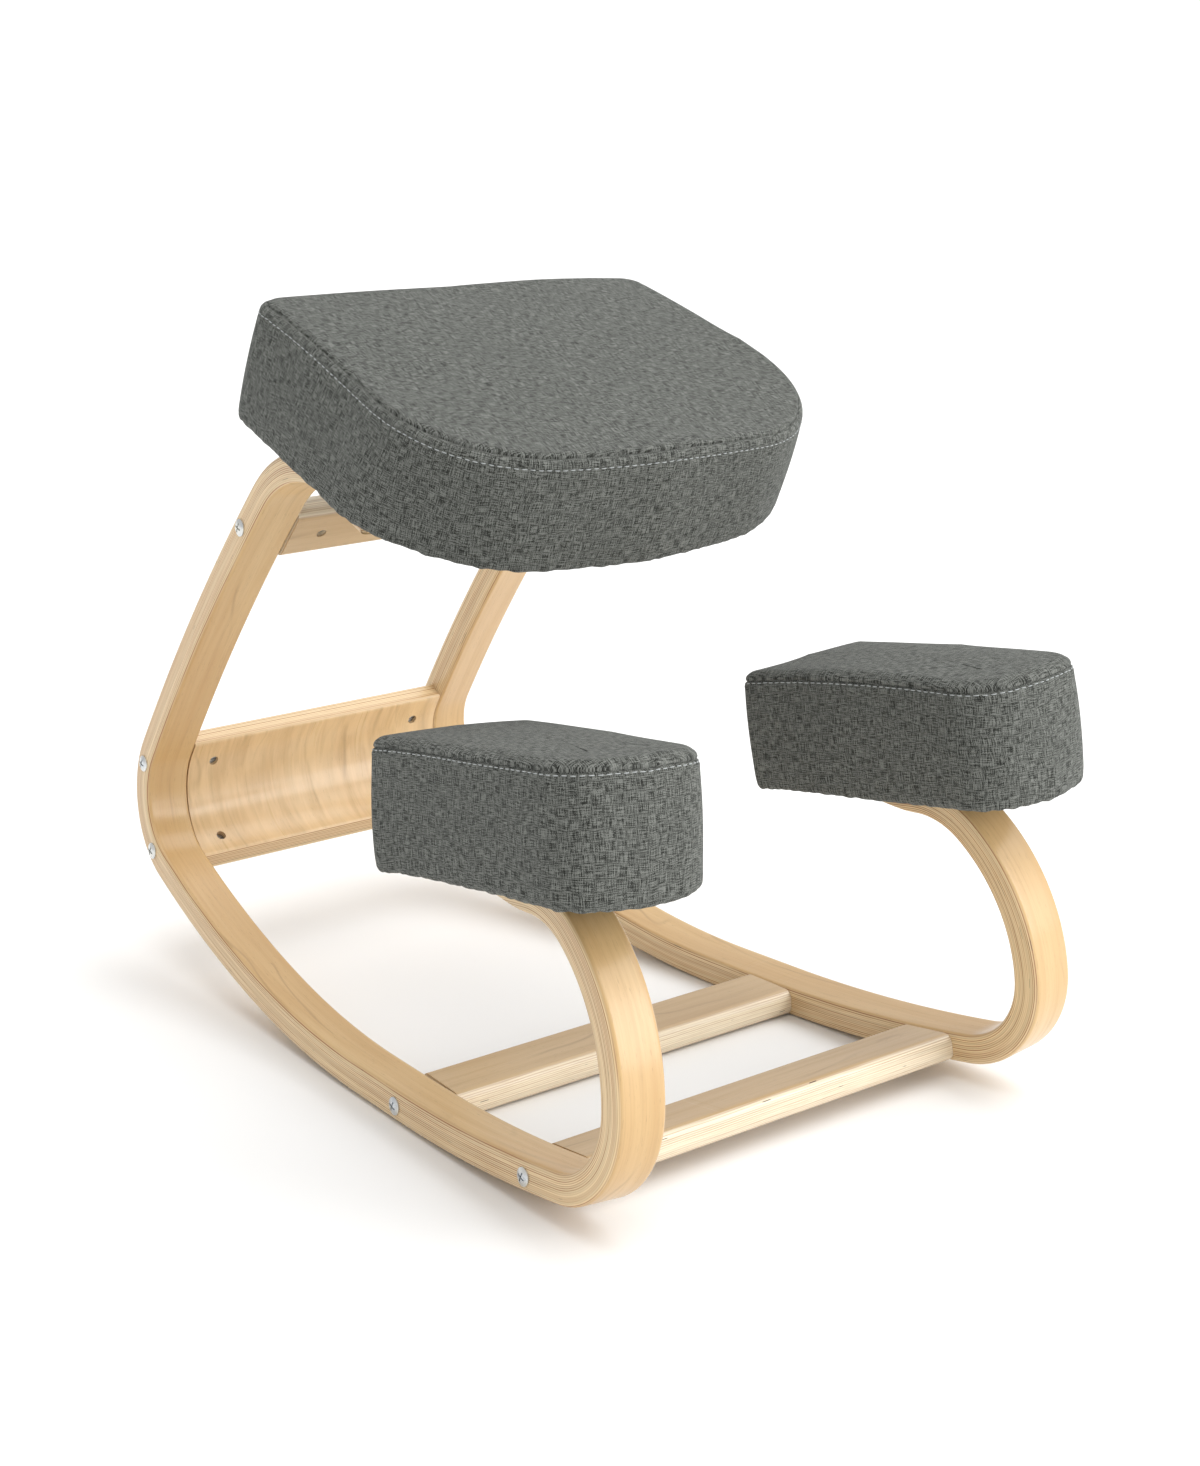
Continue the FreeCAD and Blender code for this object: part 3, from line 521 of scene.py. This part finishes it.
# ------------------------------------------------------------------ cushions
def filleted(points, radii, counts):
    """Closed outline from corner points with radii; counts[i] = (points on the line to corner i, points on its arc)."""
    n = len(points)
    P = [np.array(p, float) for p in points]
    tang = []
    for i in range(n):
        a, b, c = P[i - 1], P[i], P[(i + 1) % n]
        u = (a - b) / np.linalg.norm(a - b)
        w = (c - b) / np.linalg.norm(c - b)
        half = math.acos(max(-1, min(1, float(u @ w)))) / 2
        d = radii[i] / math.tan(half)
        bis = (u + w) / np.linalg.norm(u + w)
        centre = b + bis * (radii[i] / math.sin(half))
        tang.append((b + u * d, b + w * d, centre))
    out = []
    for i in range(n):
        start = tang[i - 1][1]
        t0, t1, centre = tang[i]
        nl, na = counts[i]
        for k in range(nl):
            out.append(start + (t0 - start) * k / nl)
        a0 = math.atan2(*(t0 - centre)[::-1])
        a1 = math.atan2(*(t1 - centre)[::-1])
        while a1 - a0 > math.pi:
            a1 -= 2 * math.pi
        while a1 - a0 < -math.pi:
            a1 += 2 * math.pi
        for k in range(na):
            a = a0 + (a1 - a0) * k / na
            out.append(centre + radii[i] * np.array((math.cos(a), math.sin(a))))
    return np.array(out)


class Plan:
    """Plan outline of a cushion at any inset, always with the same number of matching points."""

    def __init__(self, rear, front, depth, bow, rear_r, front_r, bow_r, step):
        self.v = (rear, front, depth, bow, rear_r, front_r, bow_r)
        c = self.corners(0.0)
        lens = []
        self.counts = [(2, 2)] * 5
        pts = c
        fil = self.radii(0.0)
        n = 5
        tang = []
        for i in range(n):
            a, b, d = (np.array(pts[i - 1]), np.array(pts[i]), np.array(pts[(i + 1) % n]))
            u = (a - b) / np.linalg.norm(a - b)
            w = (d - b) / np.linalg.norm(d - b)
            half = math.acos(float(u @ w)) / 2
            tang.append((fil[i] / math.tan(half), fil[i] * (math.pi - 2 * half), b))
        counts = []
        for i in range(n):
            line = np.linalg.norm(tang[i][2] - tang[i - 1][2]) - tang[i][0] - tang[i - 1][0]
            counts.append((max(1, int(line / step)), max(4, int(tang[i][1] / step))))
        self.counts = counts

    def corners(self, inset):
        rear, front, depth, bow = self.v[:4]
        pts = [(-rear, 0), (rear, 0), (front, -depth), (0, -depth - bow), (-front, -depth)]
        P = [np.array(p, float) for p in pts]
        out = []
        for i in range(5):
            a, b, c = P[i - 1], P[i], P[(i + 1) % 5]
            u = (b - a) / np.linalg.norm(b - a)
            w = (c - b) / np.linalg.norm(c - b)
            nu, nw = np.array((u[1], -u[0])), np.array((w[1], -w[0]))
            out.append(b + (nu + nw) * (inset / (1 + float(nu @ nw))))
        return out

    def radii(self, inset):
        _, _, _, _, rr, fr, br = self.v
        return [max(rr - inset, 2.0), max(rr - inset, 2.0), max(fr - inset, 2.0), br, max(fr - inset, 2.0)]

    def at(self, inset):
        return filleted(self.corners(inset), self.radii(inset), self.counts)


RINGS = {}


def half_max(plan):
    return max(plan.v[0], plan.v[1])


def deform(G, under, size, shape):
    """Small smooth change of a cushion's form: 8 corner offsets (mm), then 8 edge offsets at the middles."""
    wx, dy, h = size
    X = np.clip(G[..., 0] / wx, -1.1, 1.1)
    Y = np.clip((G[..., 1] + dy / 2) / (dy / 2), -1.1, 1.1)
    Z = np.clip(G[..., 2] / h, 0, 1.1)
    out = G.copy()
    q = 0
    for sx in (-1, 1):
        for sy in (-1, 1):
            for sz in (0, 1):
                wz = Z if sz else 1 - Z
                w = (1 + sx * X) / 2 * (1 + sy * Y) / 2 * wz * (np.abs(X) * np.abs(Y)) ** 0.7
                out += w[..., None] * np.array(shape[q]) * under[:, None, None]
                q += 1
    for sz in (0, 1):
        wz = Z if sz else 1 - Z
        for axis, sign in ((0, -1), (0, 1), (1, -1), (1, 1)):
            a, b = (X, Y) if axis == 0 else (Y, X)
            w = np.clip(sign * a, 0, 1.1) ** 2 * (1 - b ** 2) * wz
            v = np.array(((shape[q][0] * sign, 0, shape[q][1]) if axis == 0 else (0, shape[q][0] * sign, shape[q][1])))
            out += w[..., None] * v * under[:, None, None]
            q += 1
    return out


def cushion(name, mat, mats_thread, M, plan, H, top_r, taper, bulge, crown, seam_at, stitch_gap, dip, droop, hem, seed, mirror,
            turned=36.0, shape=None):
    """A cover as one closed skin: turned-under hem, side band, seam, topstitch, crowned top. Returns (cover, stitches)."""
    base = plan.at(0.0)
    N = len(base)
    depth = plan.v[2]
    seg = np.linalg.norm(np.roll(base, -1, 0) - base, axis=1)
    cum = np.concatenate(([0], np.cumsum(seg)))
    # profile from the hem up over the edge: (inset, z) by arc length
    prof = []
    for i in range(9):
        a = rad(-90 + 90 * i / 8)
        prof.append((5.0 - 5.0 * math.cos(a), 5.0 + 5.0 * math.sin(a)))
    z0, z1 = 5.0, H - top_r
    n = int((z1 - z0) / 3.0)
    for i in range(1, n):
        z = z0 + (z1 - z0) * i / n
        prof.append((taper * z / H - bulge * math.sin(math.pi * min(1, z / H)) ** 0.9, z))
    for i in range(15):
        a = rad(90 * i / 14)
        prof.append((taper * z1 / H - bulge * math.sin(math.pi * z1 / H) ** 0.9 + top_r - top_r * math.cos(a), z1 + top_r * math.sin(a)))
    prof = np.array(prof)
    pl = np.concatenate(([0], np.cumsum(np.linalg.norm(np.diff(prof, axis=0), axis=1))))
    total = pl[-1]
    L_seam = total - seam_at
    L_st = L_seam - stitch_gap
    # ring positions along the profile, fine near the seam and the stitch line
    Ls = list(np.linspace(0, pl[8], 8)) + list(np.arange(pl[8] + 2.6, L_st - 3.0, 3.2))
    Ls += [L_st + d for d in (-2.4, -1.3, -0.6, 0.0, 0.6, 1.3, 2.4)]
    if stitch_gap > 5:
        Ls += list(np.arange(L_st + 3.6, L_seam - 3.0, 1.6))
    Ls += [L_seam + d for d in (-2.4, -1.5, -0.9, -0.45, 0.0, 0.45, 0.9, 1.5, 2.4)]
    Ls += list(np.arange(L_seam + 3.4, total, 1.6)) + [total]
    Ls = np.array(sorted(set(round(float(x), 3) for x in Ls)))
    keep = [0]
    for i in range(1, len(Ls)):
        if Ls[i] - Ls[keep[-1]] > 0.35:
            keep.append(i)
    Ls = Ls[keep]
    rings, kinds = [], []
    inner = plan.at(turned)
    cen = np.array((0.0, -depth * 0.5))
    for k in (0.04, 0.35, 0.7, 1.0):          # hidden panel behind the dust cover
        rings.append(np.column_stack((cen + (inner - cen) * k, np.full(N, 1.08))))
        kinds.append("flat")
    rings.append(np.column_stack((inner, np.full(N, 0.0))))
    kinds.append("hem")
    for ins in (28.0, 20.0, 13.0, 8.5):
        rings.append(np.column_stack((plan.at(ins), np.full(N, 0.0))))
        kinds.append("hem")
    for L in Ls:
        ins = float(np.interp(L, pl, prof[:, 0]))
        z = float(np.interp(L, pl, prof[:, 1]))
        rings.append(np.column_stack((plan.at(ins), np.full(N, z))))
        kinds.append(float(L))
    edge_in = float(prof[-1, 0])
    for step in (4, 9, 15, 22, 30):
        rings.append(np.column_stack((plan.at(edge_in + step), np.full(N, H))))
        kinds.append("top")
    last = plan.at(edge_in + 30)
    for k in (0.9, 0.8, 0.68, 0.55, 0.42, 0.3, 0.18, 0.08):
        rings.append(np.column_stack((cen + (last - cen) * k, np.full(N, H))))
        kinds.append("top")
    G = np.array(rings)                       # rings x N x 3
    R = len(rings)
    x, y, z = G[..., 0].copy(), G[..., 1].copy(), G[..., 2].copy()
    # place in the plan: -1..1 each way
    rear, front, _, bow = plan.v[:4]
    half = rear + (front - rear) * np.clip(-y / depth, 0, 1.1)
    xn = x / half
    yn = (y + (depth + bow) / 2) / ((depth + bow) / 2)
    up_w = np.clip(z / H, 0, 1)
    dome = np.clip(1 - np.abs(xn) ** 2.4, 0, 1) * np.clip(1 - np.abs(yn) ** 2.4, 0, 1)
    z = z + crown * dome * np.clip((z - H + 2.0) / 2.0, 0, 1)
    corner = (np.abs(xn) ** 3) * (np.abs(yn) ** 3)
    rear_c = corner * (yn > 0)
    front_c = corner * (yn <= 0)
    z = z - (dip[0] * rear_c + dip[1] * front_c) * up_w ** 2
    mid_side = (np.abs(xn) ** 6) * np.clip(1 - yn ** 2, 0, 1)
    z = z + dip[2] * mid_side * up_w ** 2
    mid_front = np.clip(1 - xn ** 2, 0, 1) * np.clip(-yn, 0, 1) ** 6
    z = z + dip[3] * mid_front * up_w ** 2
    # the hem hangs a little lower between the corners, outside the arms
    outer = np.zeros_like(z)
    for i, kd in enumerate(kinds):
        if isinstance(kd, float):
            outer[i] = math.exp(-(kd / 16.0) ** 2)
        elif kd == "hem":
            outer[i] = 0.0
    outer[8] = 0.35
    z = z - outer * (droop[0] * mid_side + droop[1] * mid_front + droop[2])
    G = np.stack((x, y, z), -1)
    # surface normals of the grid
    du = np.roll(G, -1, 1) - np.roll(G, 1, 1)
    dv = np.gradient(G, axis=0)
    nrm = np.cross(du, dv)
    nrm /= np.maximum(np.linalg.norm(nrm, axis=-1, keepdims=True), 1e-9)
    ref = np.stack((x, y + depth / 2, (z - H / 2) * 2), -1)
    if np.mean(np.sum(nrm[12:-6] * ref[12:-6], -1)) < 0:
        nrm = -nrm
    disp = np.zeros((R, N))
    zshift = np.zeros((R, N))
    # corner measure round the outline, for the puckers of the turned-under hem
    bend = np.zeros(N)
    tang = np.roll(base, -2, 0) - np.roll(base, 2, 0)
    ang = np.unwrap(np.arctan2(tang[:, 1], tang[:, 0]))
    curv = np.abs(np.gradient(ang))
    kern = np.exp(-np.linspace(-2.2, 2.2, 25) ** 2)
    curv = np.convolve(np.concatenate((curv[-12:], curv, curv[:12])), kern / kern.sum(), "valid")[:N]
    bend = np.clip(curv / (np.percentile(curv, 97) + 1e-9), 0, 1)
    sd = seed * 13.7
    pucker = np.array([fbm((cum[i] / 10.5, sd, 0.0), 2) for i in range(N)])
    pucker2 = np.array([fbm((cum[i] / 5.2, sd, 5.0), 2) for i in range(N)])
    slow_u = np.array([fbm((cum[i] / 70.0, sd, 9.0), 2) for i in range(N)])
    amp_u = hem * (0.45 + 0.75 * bend)
    for i, kd in enumerate(kinds):
        if isinstance(kd, float):
            L = kd
            f = math.exp(-(L / 11.0) ** 1.5)
            disp[i] += f * amp_u * (1.25 * pucker + 0.55 * pucker2)
            zshift[i] += math.exp(-(L / 7.0) ** 2) * amp_u * (1.1 * np.roll(pucker, 2) + 0.7 * pucker2 - 0.35)
            g = math.exp(-(L / 45.0) ** 2) * 0.22
            disp[i] += g * amp_u * pucker
            d = L - L_seam
            disp[i] -= 1.25 * math.exp(-(d / 0.75) ** 2) + 0.45 * math.exp(-(d / 2.6) ** 2)
            disp[i] += 0.30 * math.exp(-((abs(d) - 4.2) / 2.0) ** 2)
            d = L - L_st
            phase = 0.5 + 0.5 * np.cos(2 * math.pi * cum[:N] / 6.0)
            disp[i] -= (0.28 + (0.20 if stitch_gap > 5 else 0.06) * phase) * math.exp(-(d / 1.5) ** 2)
    # slow unevenness of hand-fitted foam and cloth
    for i in range(R):
        if kinds[i] in ("flat", "hem"):
            continue
        for j in range(0, N):
            p = (G[i, j, 0] / 62.0, G[i, j, 1] / 62.0, G[i, j, 2] / 62.0 + sd)
            disp[i, j] += 0.62 * noise.noise(Vector(p))
    G = G + nrm * disp[..., None]
    G[..., 2] += zshift
    G[:4, :, 2] = 1.08
    for i in range(4, 8):
        G[i, :, 2] = np.maximum(G[i, :, 2], 0.0)
    st_i = min(range(R), key=lambda i: abs(kinds[i] - L_st) if isinstance(kinds[i], float) else 1e9)
    seam_i = min(range(R), key=lambda i: abs(kinds[i] - L_seam) if isinstance(kinds[i], float) else 1e9)
    laid = G.copy()
    if shape is not None:
        under = np.ones(R)
        under[:9] = (0, 0, 0, 0, 0, 0, 0, 0.15, 0.5)
        G = deform(G, under, (half_max(plan), depth + bow, H), shape)
    RINGS[name] = (N, R, seam_i, st_i)
    verts = [Vector(p) for p in G.reshape(-1, 3)]
    faces, uv = [], []
    cl = cum[-1]
    for i in range(R - 1):
        low = i < seam_i
        for j in range(N):
            k = (j + 1) % N
            ids = (i * N + j, i * N + k, (i + 1) * N + k, (i + 1) * N + j)
            faces.append(ids)
            u0, u1 = cum[j], cum[j + 1]
            if low and i >= 8:
                va = kinds[i] if isinstance(kinds[i], float) else -3.5
                vb = kinds[i + 1] if isinstance(kinds[i + 1], float) else 0.0
                uv += [(u0, va, 0), (u1, va, 0), (u1, vb, 0), (u0, vb, 0)]
            else:
                uv += [(laid[q // N, q % N, 0] + 900.0, laid[q // N, q % N, 1] - 400.0, 0) for q in ids]
    faces.append(tuple(reversed(range(N))))
    uv += [(laid[0, q, 0], laid[0, q, 1], 0) for q in reversed(range(N))]
    top = [(R - 1) * N + j for j in range(N)]
    c_id = len(verts)
    verts.append(Vector(G[R - 1].mean(0) + np.array((0, 0, 0.03))))
    for j in range(N):
        k = (j + 1) % N
        faces.append((top[j], top[k], c_id))
        for q in (j, k):
            uv.append((laid[R - 1, q, 0] + 900.0, laid[R - 1, q, 1] - 400.0, 0))
        uv.append((verts[c_id].x + 900.0, verts[c_id].y - 400.0, 0))
    T = (MIRROR @ M) if mirror else M
    me = bpy.data.meshes.new(name)
    me.from_pydata([tuple(T @ p) for p in verts], [], faces)
    me.update()
    me.shade_smooth()
    ob = bpy.data.objects.new(name, me)
    scene.collection.objects.link(ob)
    me.materials.append(mat)
    vector_attribute(me, "cloth", np.array(uv) * MM, "CORNER")
    fix_normals(ob)
    # topstitching: one small twisted capsule per stitch, sunk a little into the cloth
    line = G[st_i]
    ln = nrm[st_i]
    sv, sf = [], []
    pitch, length, thick = 6.0, 4.4, 0.36
    count = int(round(cl / pitch))
    for q in range(count):
        c0 = (q + 0.08) * cl / count
        m, ringn = 6, 5
        pts = []
        for a in range(ringn):
            t = a / (ringn - 1)
            pos = (c0 + length * t * cl / count / pitch) % cl
            j = int(np.searchsorted(cum, pos, side="right") - 1) % N
            f = (pos - cum[j]) / seg[j]
            k = (j + 1) % N
            p = line[j] * (1 - f) + line[k] * f
            nn = ln[j] * (1 - f) + ln[k] * f
            nn = nn / np.linalg.norm(nn)
            tg = (line[k] - line[j])
            tg = tg / np.linalg.norm(tg)
            sd2 = np.cross(nn, tg)
            r = thick * (0.45, 0.95, 1.05, 0.95, 0.45)[a]
            lift = (-0.25, 0.22, 0.34, 0.22, -0.25)[a]
            p = p + nn * lift + sd2 * 0.10 * math.sin(q * 2.3 + t)
            pts.append([(p + (nn * math.cos(h) + sd2 * math.sin(h)) * r) for h in (2 * math.pi * b / m for b in range(m))])
        o = len(sv)
        for ring in pts:
            sv += [Vector(p) for p in ring]
        for a in range(ringn - 1):
            for b in range(m):
                c = (b + 1) % m
                sf.append((o + a * m + b, o + a * m + c, o + (a + 1) * m + c, o + (a + 1) * m + b))
        sf.append(tuple(o + b for b in reversed(range(m))))
        sf.append(tuple(o + (ringn - 1) * m + b for b in range(m)))
    st = new_object(name.replace("cover", "topstitch"), [T @ p for p in sv], sf, mats_thread)
    fix_normals(st)
    return ob, st


# ------------------------------------------------------------------ materials
FACE = (0.655, 0.452, 0.215)
DARK = (0.505, 0.290, 0.108)
EDGE = (0.815, 0.625, 0.355)
LINE = (0.340, 0.125, 0.030)
m_frame_r = wood("laminated_right", ply_coord, FACE, DARK, EDGE, LINE, STRIP_T / 2 * MM, seed=1.0)
m_frame_l = wood("laminated_left", ply_coord, FACE, DARK, EDGE, LINE, STRIP_T / 2 * MM, seed=2.3)
m_panel = wood("laminated_panel", ply_coord, (0.690, 0.490, 0.262), (0.540, 0.335, 0.150), EDGE, LINE, 0.008, seed=4.1, ply=0.0016,
               cross_figure=0.5, gap=0.35, roughness=0.30)
m_fab = {k: fabric("melange_" + k, seed=s) for k, s in (("seat", 1.0), ("right", 2.0), ("left", 3.0))}
m_thread = thread("topstitch_thread")
m_zinc = zinc("zinc_plated")
# a darker copy of the same zinc: painted shade for the nuts and screws, which sit in holes
m_zinc_painted_shade = zinc("zinc_painted_shade", 0.6)
m_dust = nonwoven("black_nonwoven")
m_foam = foam_look("foam")


def dress(node, mat):
    me = nodes[node].data
    me.materials.clear()
    me.materials.append(mat)


# ------------------------------------------------------------------ wood pieces
for side, mat, mir in (("right", m_frame_r, False), ("left", m_frame_l, True)):
    ob = side_frame(side + "_bent_frame", mat, mir)
    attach(ob, "root")
    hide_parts(side + "_side_frame")

# the curved panel keeps its CAD shape; its copy carries the run of the plies
src = nodes["back_panel"]
pan = src.copy()
pan.data = src.data.copy()
pan.name = "curved_back_panel"
for key in list(pan.keys()):
    del pan[key]
pan.parent = None
scene.collection.objects.link(pan)
inv = REST.inverted()
p66 = FM @ Vector((0, 0, STRIP_W + 28.0))
line = []
for r in REAR[1:6]:
    for i in range(120):
        s = r[3] * i / 120
        a, b, h = at(r, s)
        line.append((a, b, h, s + sum(q[3] for q in REAR[:REAR.index(r)])))
line = np.array(line)
vals = []
for v in pan.data.vertices:
    p = inv @ v.co
    a, b = p.y - p66.y, p.z - p66.z
    d = (line[:, 0] - a) ** 2 + (line[:, 1] - b) ** 2
    i = int(np.argmin(d))
    la, lb, h, s = line[i]
    off = (a - la) * -math.sin(h) + (b - lb) * math.cos(h)
    vals.append((s * MM, (off - 2.0) * MM, p.x * MM))
vector_attribute(pan.data, "ply", vals)
pan.data.materials.clear()
pan.data.materials.append(m_panel)
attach(pan, "root")
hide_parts("back_panel")

for i, (node, tilt) in enumerate(RAIL_TILTS.items()):
    lo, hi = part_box(node)
    c = (lo + hi) / 2
    # the rails' ply edges get a paler colour than the frames' edges: partly the pale lacquered end grain, partly
    # painted light for the brightly lit front faces
    dress(node, wood("rail_" + str(i), rail_coord(tilt, c), (0.600, 0.430, 0.240), (0.460, 0.300, 0.145), (0.900, 0.790, 0.590), LINE,
                     10.75 * MM, seed=6.0 + i * 1.7, ply=0.00155, glue=0.5, gap=0.9, roughness=0.42))

# ------------------------------------------------------------------ cushions
# small form differences of the three hand-covered cushions (see deform)
SHAPES = {
    "seat": [(-2.7, 4.3, 1.5), (-10.6, 10.4, 2.7), (-0.9, -2.7, -7.4), (1.4, 2.7, 8.6), (-11.0, 11.0, -4.2), (-8.3, -2.0, -11.0), (-2.0, 2.5, 0.5), (10.9, -10.1, -1.1), (7.5, 7.9), (-5.7, 6.2), (-7.4, -7.7), (-0.9, -1.8), (-11.0, -1.1), (-4.9, 2.5), (6.5, 3.3), (-1.2, -0.8)],
    "right": [(0.7, -0.8, 0.6), (-0.2, 1.1, 3.4), (-0.3, 0.1, 0.1), (0.4, -0.4, -0.4), (-2.2, 2.8, 5.5), (-2.3, 1.9, 0.2), (-0.0, 1.0, 4.1), (-1.5, 0.8, -1.4), (-2.2, 5.3), (-0.6, 3.5), (-3.3, 0.2), (2.2, 6.2), (1.4, 0.2), (-0.1, -2.2), (-1.3, 0.2), (1.7, -1.2)],
    "left": [(0.4, 2.1, 3.1), (-0.5, -1.5, -1.2), (0.0, 0.3, 0.5), (4.1, -0.0, -4.8), (2.9, 5.5, 2.5), (2.5, 2.9, 0.3), (-1.0, 1.2, 2.9), (-0.5, -0.4, -0.4), (-0.3, 1.0), (-0.8, 4.3), (4.5, -0.2), (-0.1, 1.6), (-2.3, -4.6), (-0.7, 4.1), (1.6, -1.6), (-0.7, -3.4)],
}
seat_plan = Plan(178.5, 202.0, 288.0, 20.5, 24.0, 116.0, 760.0, 2.9)
pad_plan = Plan(69.2, 58.6, 232.8, 6.2, 10.0, 37.4, 200.0, 2.4)
sets = []
cov, sti = cushion("seat_cover_cloth", m_fab["seat"], m_thread, SEAT_M, seat_plan, 84.0, 9.0, 5.0, 1.6, 4.6,
                   seam_at=4.5, stitch_gap=8.5, dip=(6.0, 4.0, 2.0, 1.0), droop=(5.0, 1.0, 0.0), hem=1.7, seed=1.0, mirror=False, shape=SHAPES["seat"])
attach(cov, "root"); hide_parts("seat_cover", "seat_foam")
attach(sti, "root")
for side, mir, sd in (("right", False, 2.0), ("left", True, 3.0)):
    cov, sti = cushion(side + "_knee_pad_cover_cloth", m_fab[side], m_thread, PAD_M, pad_plan, 92.3, 10.0, 1.0, 2.0, 3.4,
                       seam_at=13.0, stitch_gap=1.9, dip=(2.0, 2.0, 0.0, 0.0), droop=(1.0, 0.5, 4.0), hem=1.9, seed=sd, mirror=mir, shape=SHAPES[side])
    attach(cov, "root"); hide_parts(side + "_knee_pad_cover", side + "_knee_pad_foam")
    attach(sti, "root")

# ------------------------------------------------------------------ other CAD nodes
for n in nodes:
    if n.endswith("_bolts"):
        dress(n, m_zinc)
    elif n.endswith("_nuts") or n.endswith("_screws"):
        dress(n, m_zinc_painted_shade)
    elif n.endswith("_dust_cover"):
        dress(n, m_dust)
    elif n.endswith("_foam"):
        dress(n, m_foam)
    elif n.endswith("_board"):
        lo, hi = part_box(n)
        dress(n, wood(n + "_wood", rail_coord(18.0 if n.startswith("seat") else -8.1, (lo + hi) / 2), FACE, DARK, EDGE, LINE, 0.006, seed=8.0))

# ------------------------------------------------------------------ floor and light
N = Nodes("pale_floor")
o = N.n("TexCoord").outputs["Object"]
t = N.noise(o, 1.3, 2.0)
N.put(N.bsdf.inputs["Base Color"], N.mix(t, (0.90, 0.90, 0.895), (0.93, 0.93, 0.925)))
N.bsdf.inputs["Roughness"].default_value = 0.9
N.bsdf.inputs["Specular IOR Level"].default_value = 0.0
floor = new_object("floor", [(-300, -300, -0.0002), (300, -300, -0.0002), (300, 300, -0.0002), (-300, 300, -0.0002)], [(0, 1, 2, 3)], N.mat, False)
floor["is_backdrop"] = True

world = bpy.data.worlds.new("studio")
scene.world = world
world.use_nodes = True
bg = world.node_tree.nodes["Background"]
bg.inputs[0].default_value = (1, 1, 1, 1)
bg.inputs[1].default_value = 0.70


def lamp(name, kind, energy, loc, target, size=1.0, color=(1, 1, 1)):
    d = bpy.data.lights.new(name, kind)
    d.energy = energy
    d.color = color
    if kind == "AREA":
        d.shape = "RECTANGLE"
        d.size, d.size_y = size
    else:
        d.angle = rad(size)
    ob = bpy.data.objects.new(name, d)
    scene.collection.objects.link(ob)
    ob.location = loc
    ob.rotation_mode = "QUATERNION"
    ob.rotation_quaternion = (Vector(target) - Vector(loc)).to_track_quat("-Z", "Y")
    return ob


lamp("overhead", "SUN", 2.2, (0.8, -0.5, 3.0), (0, 0, 0), 75)
lamp("key", "AREA", 40.0, (1.5, -2.5, 1.1), (0, -0.05, 0.22), (1.8, 1.6))

a, b = CAD_BOX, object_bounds()
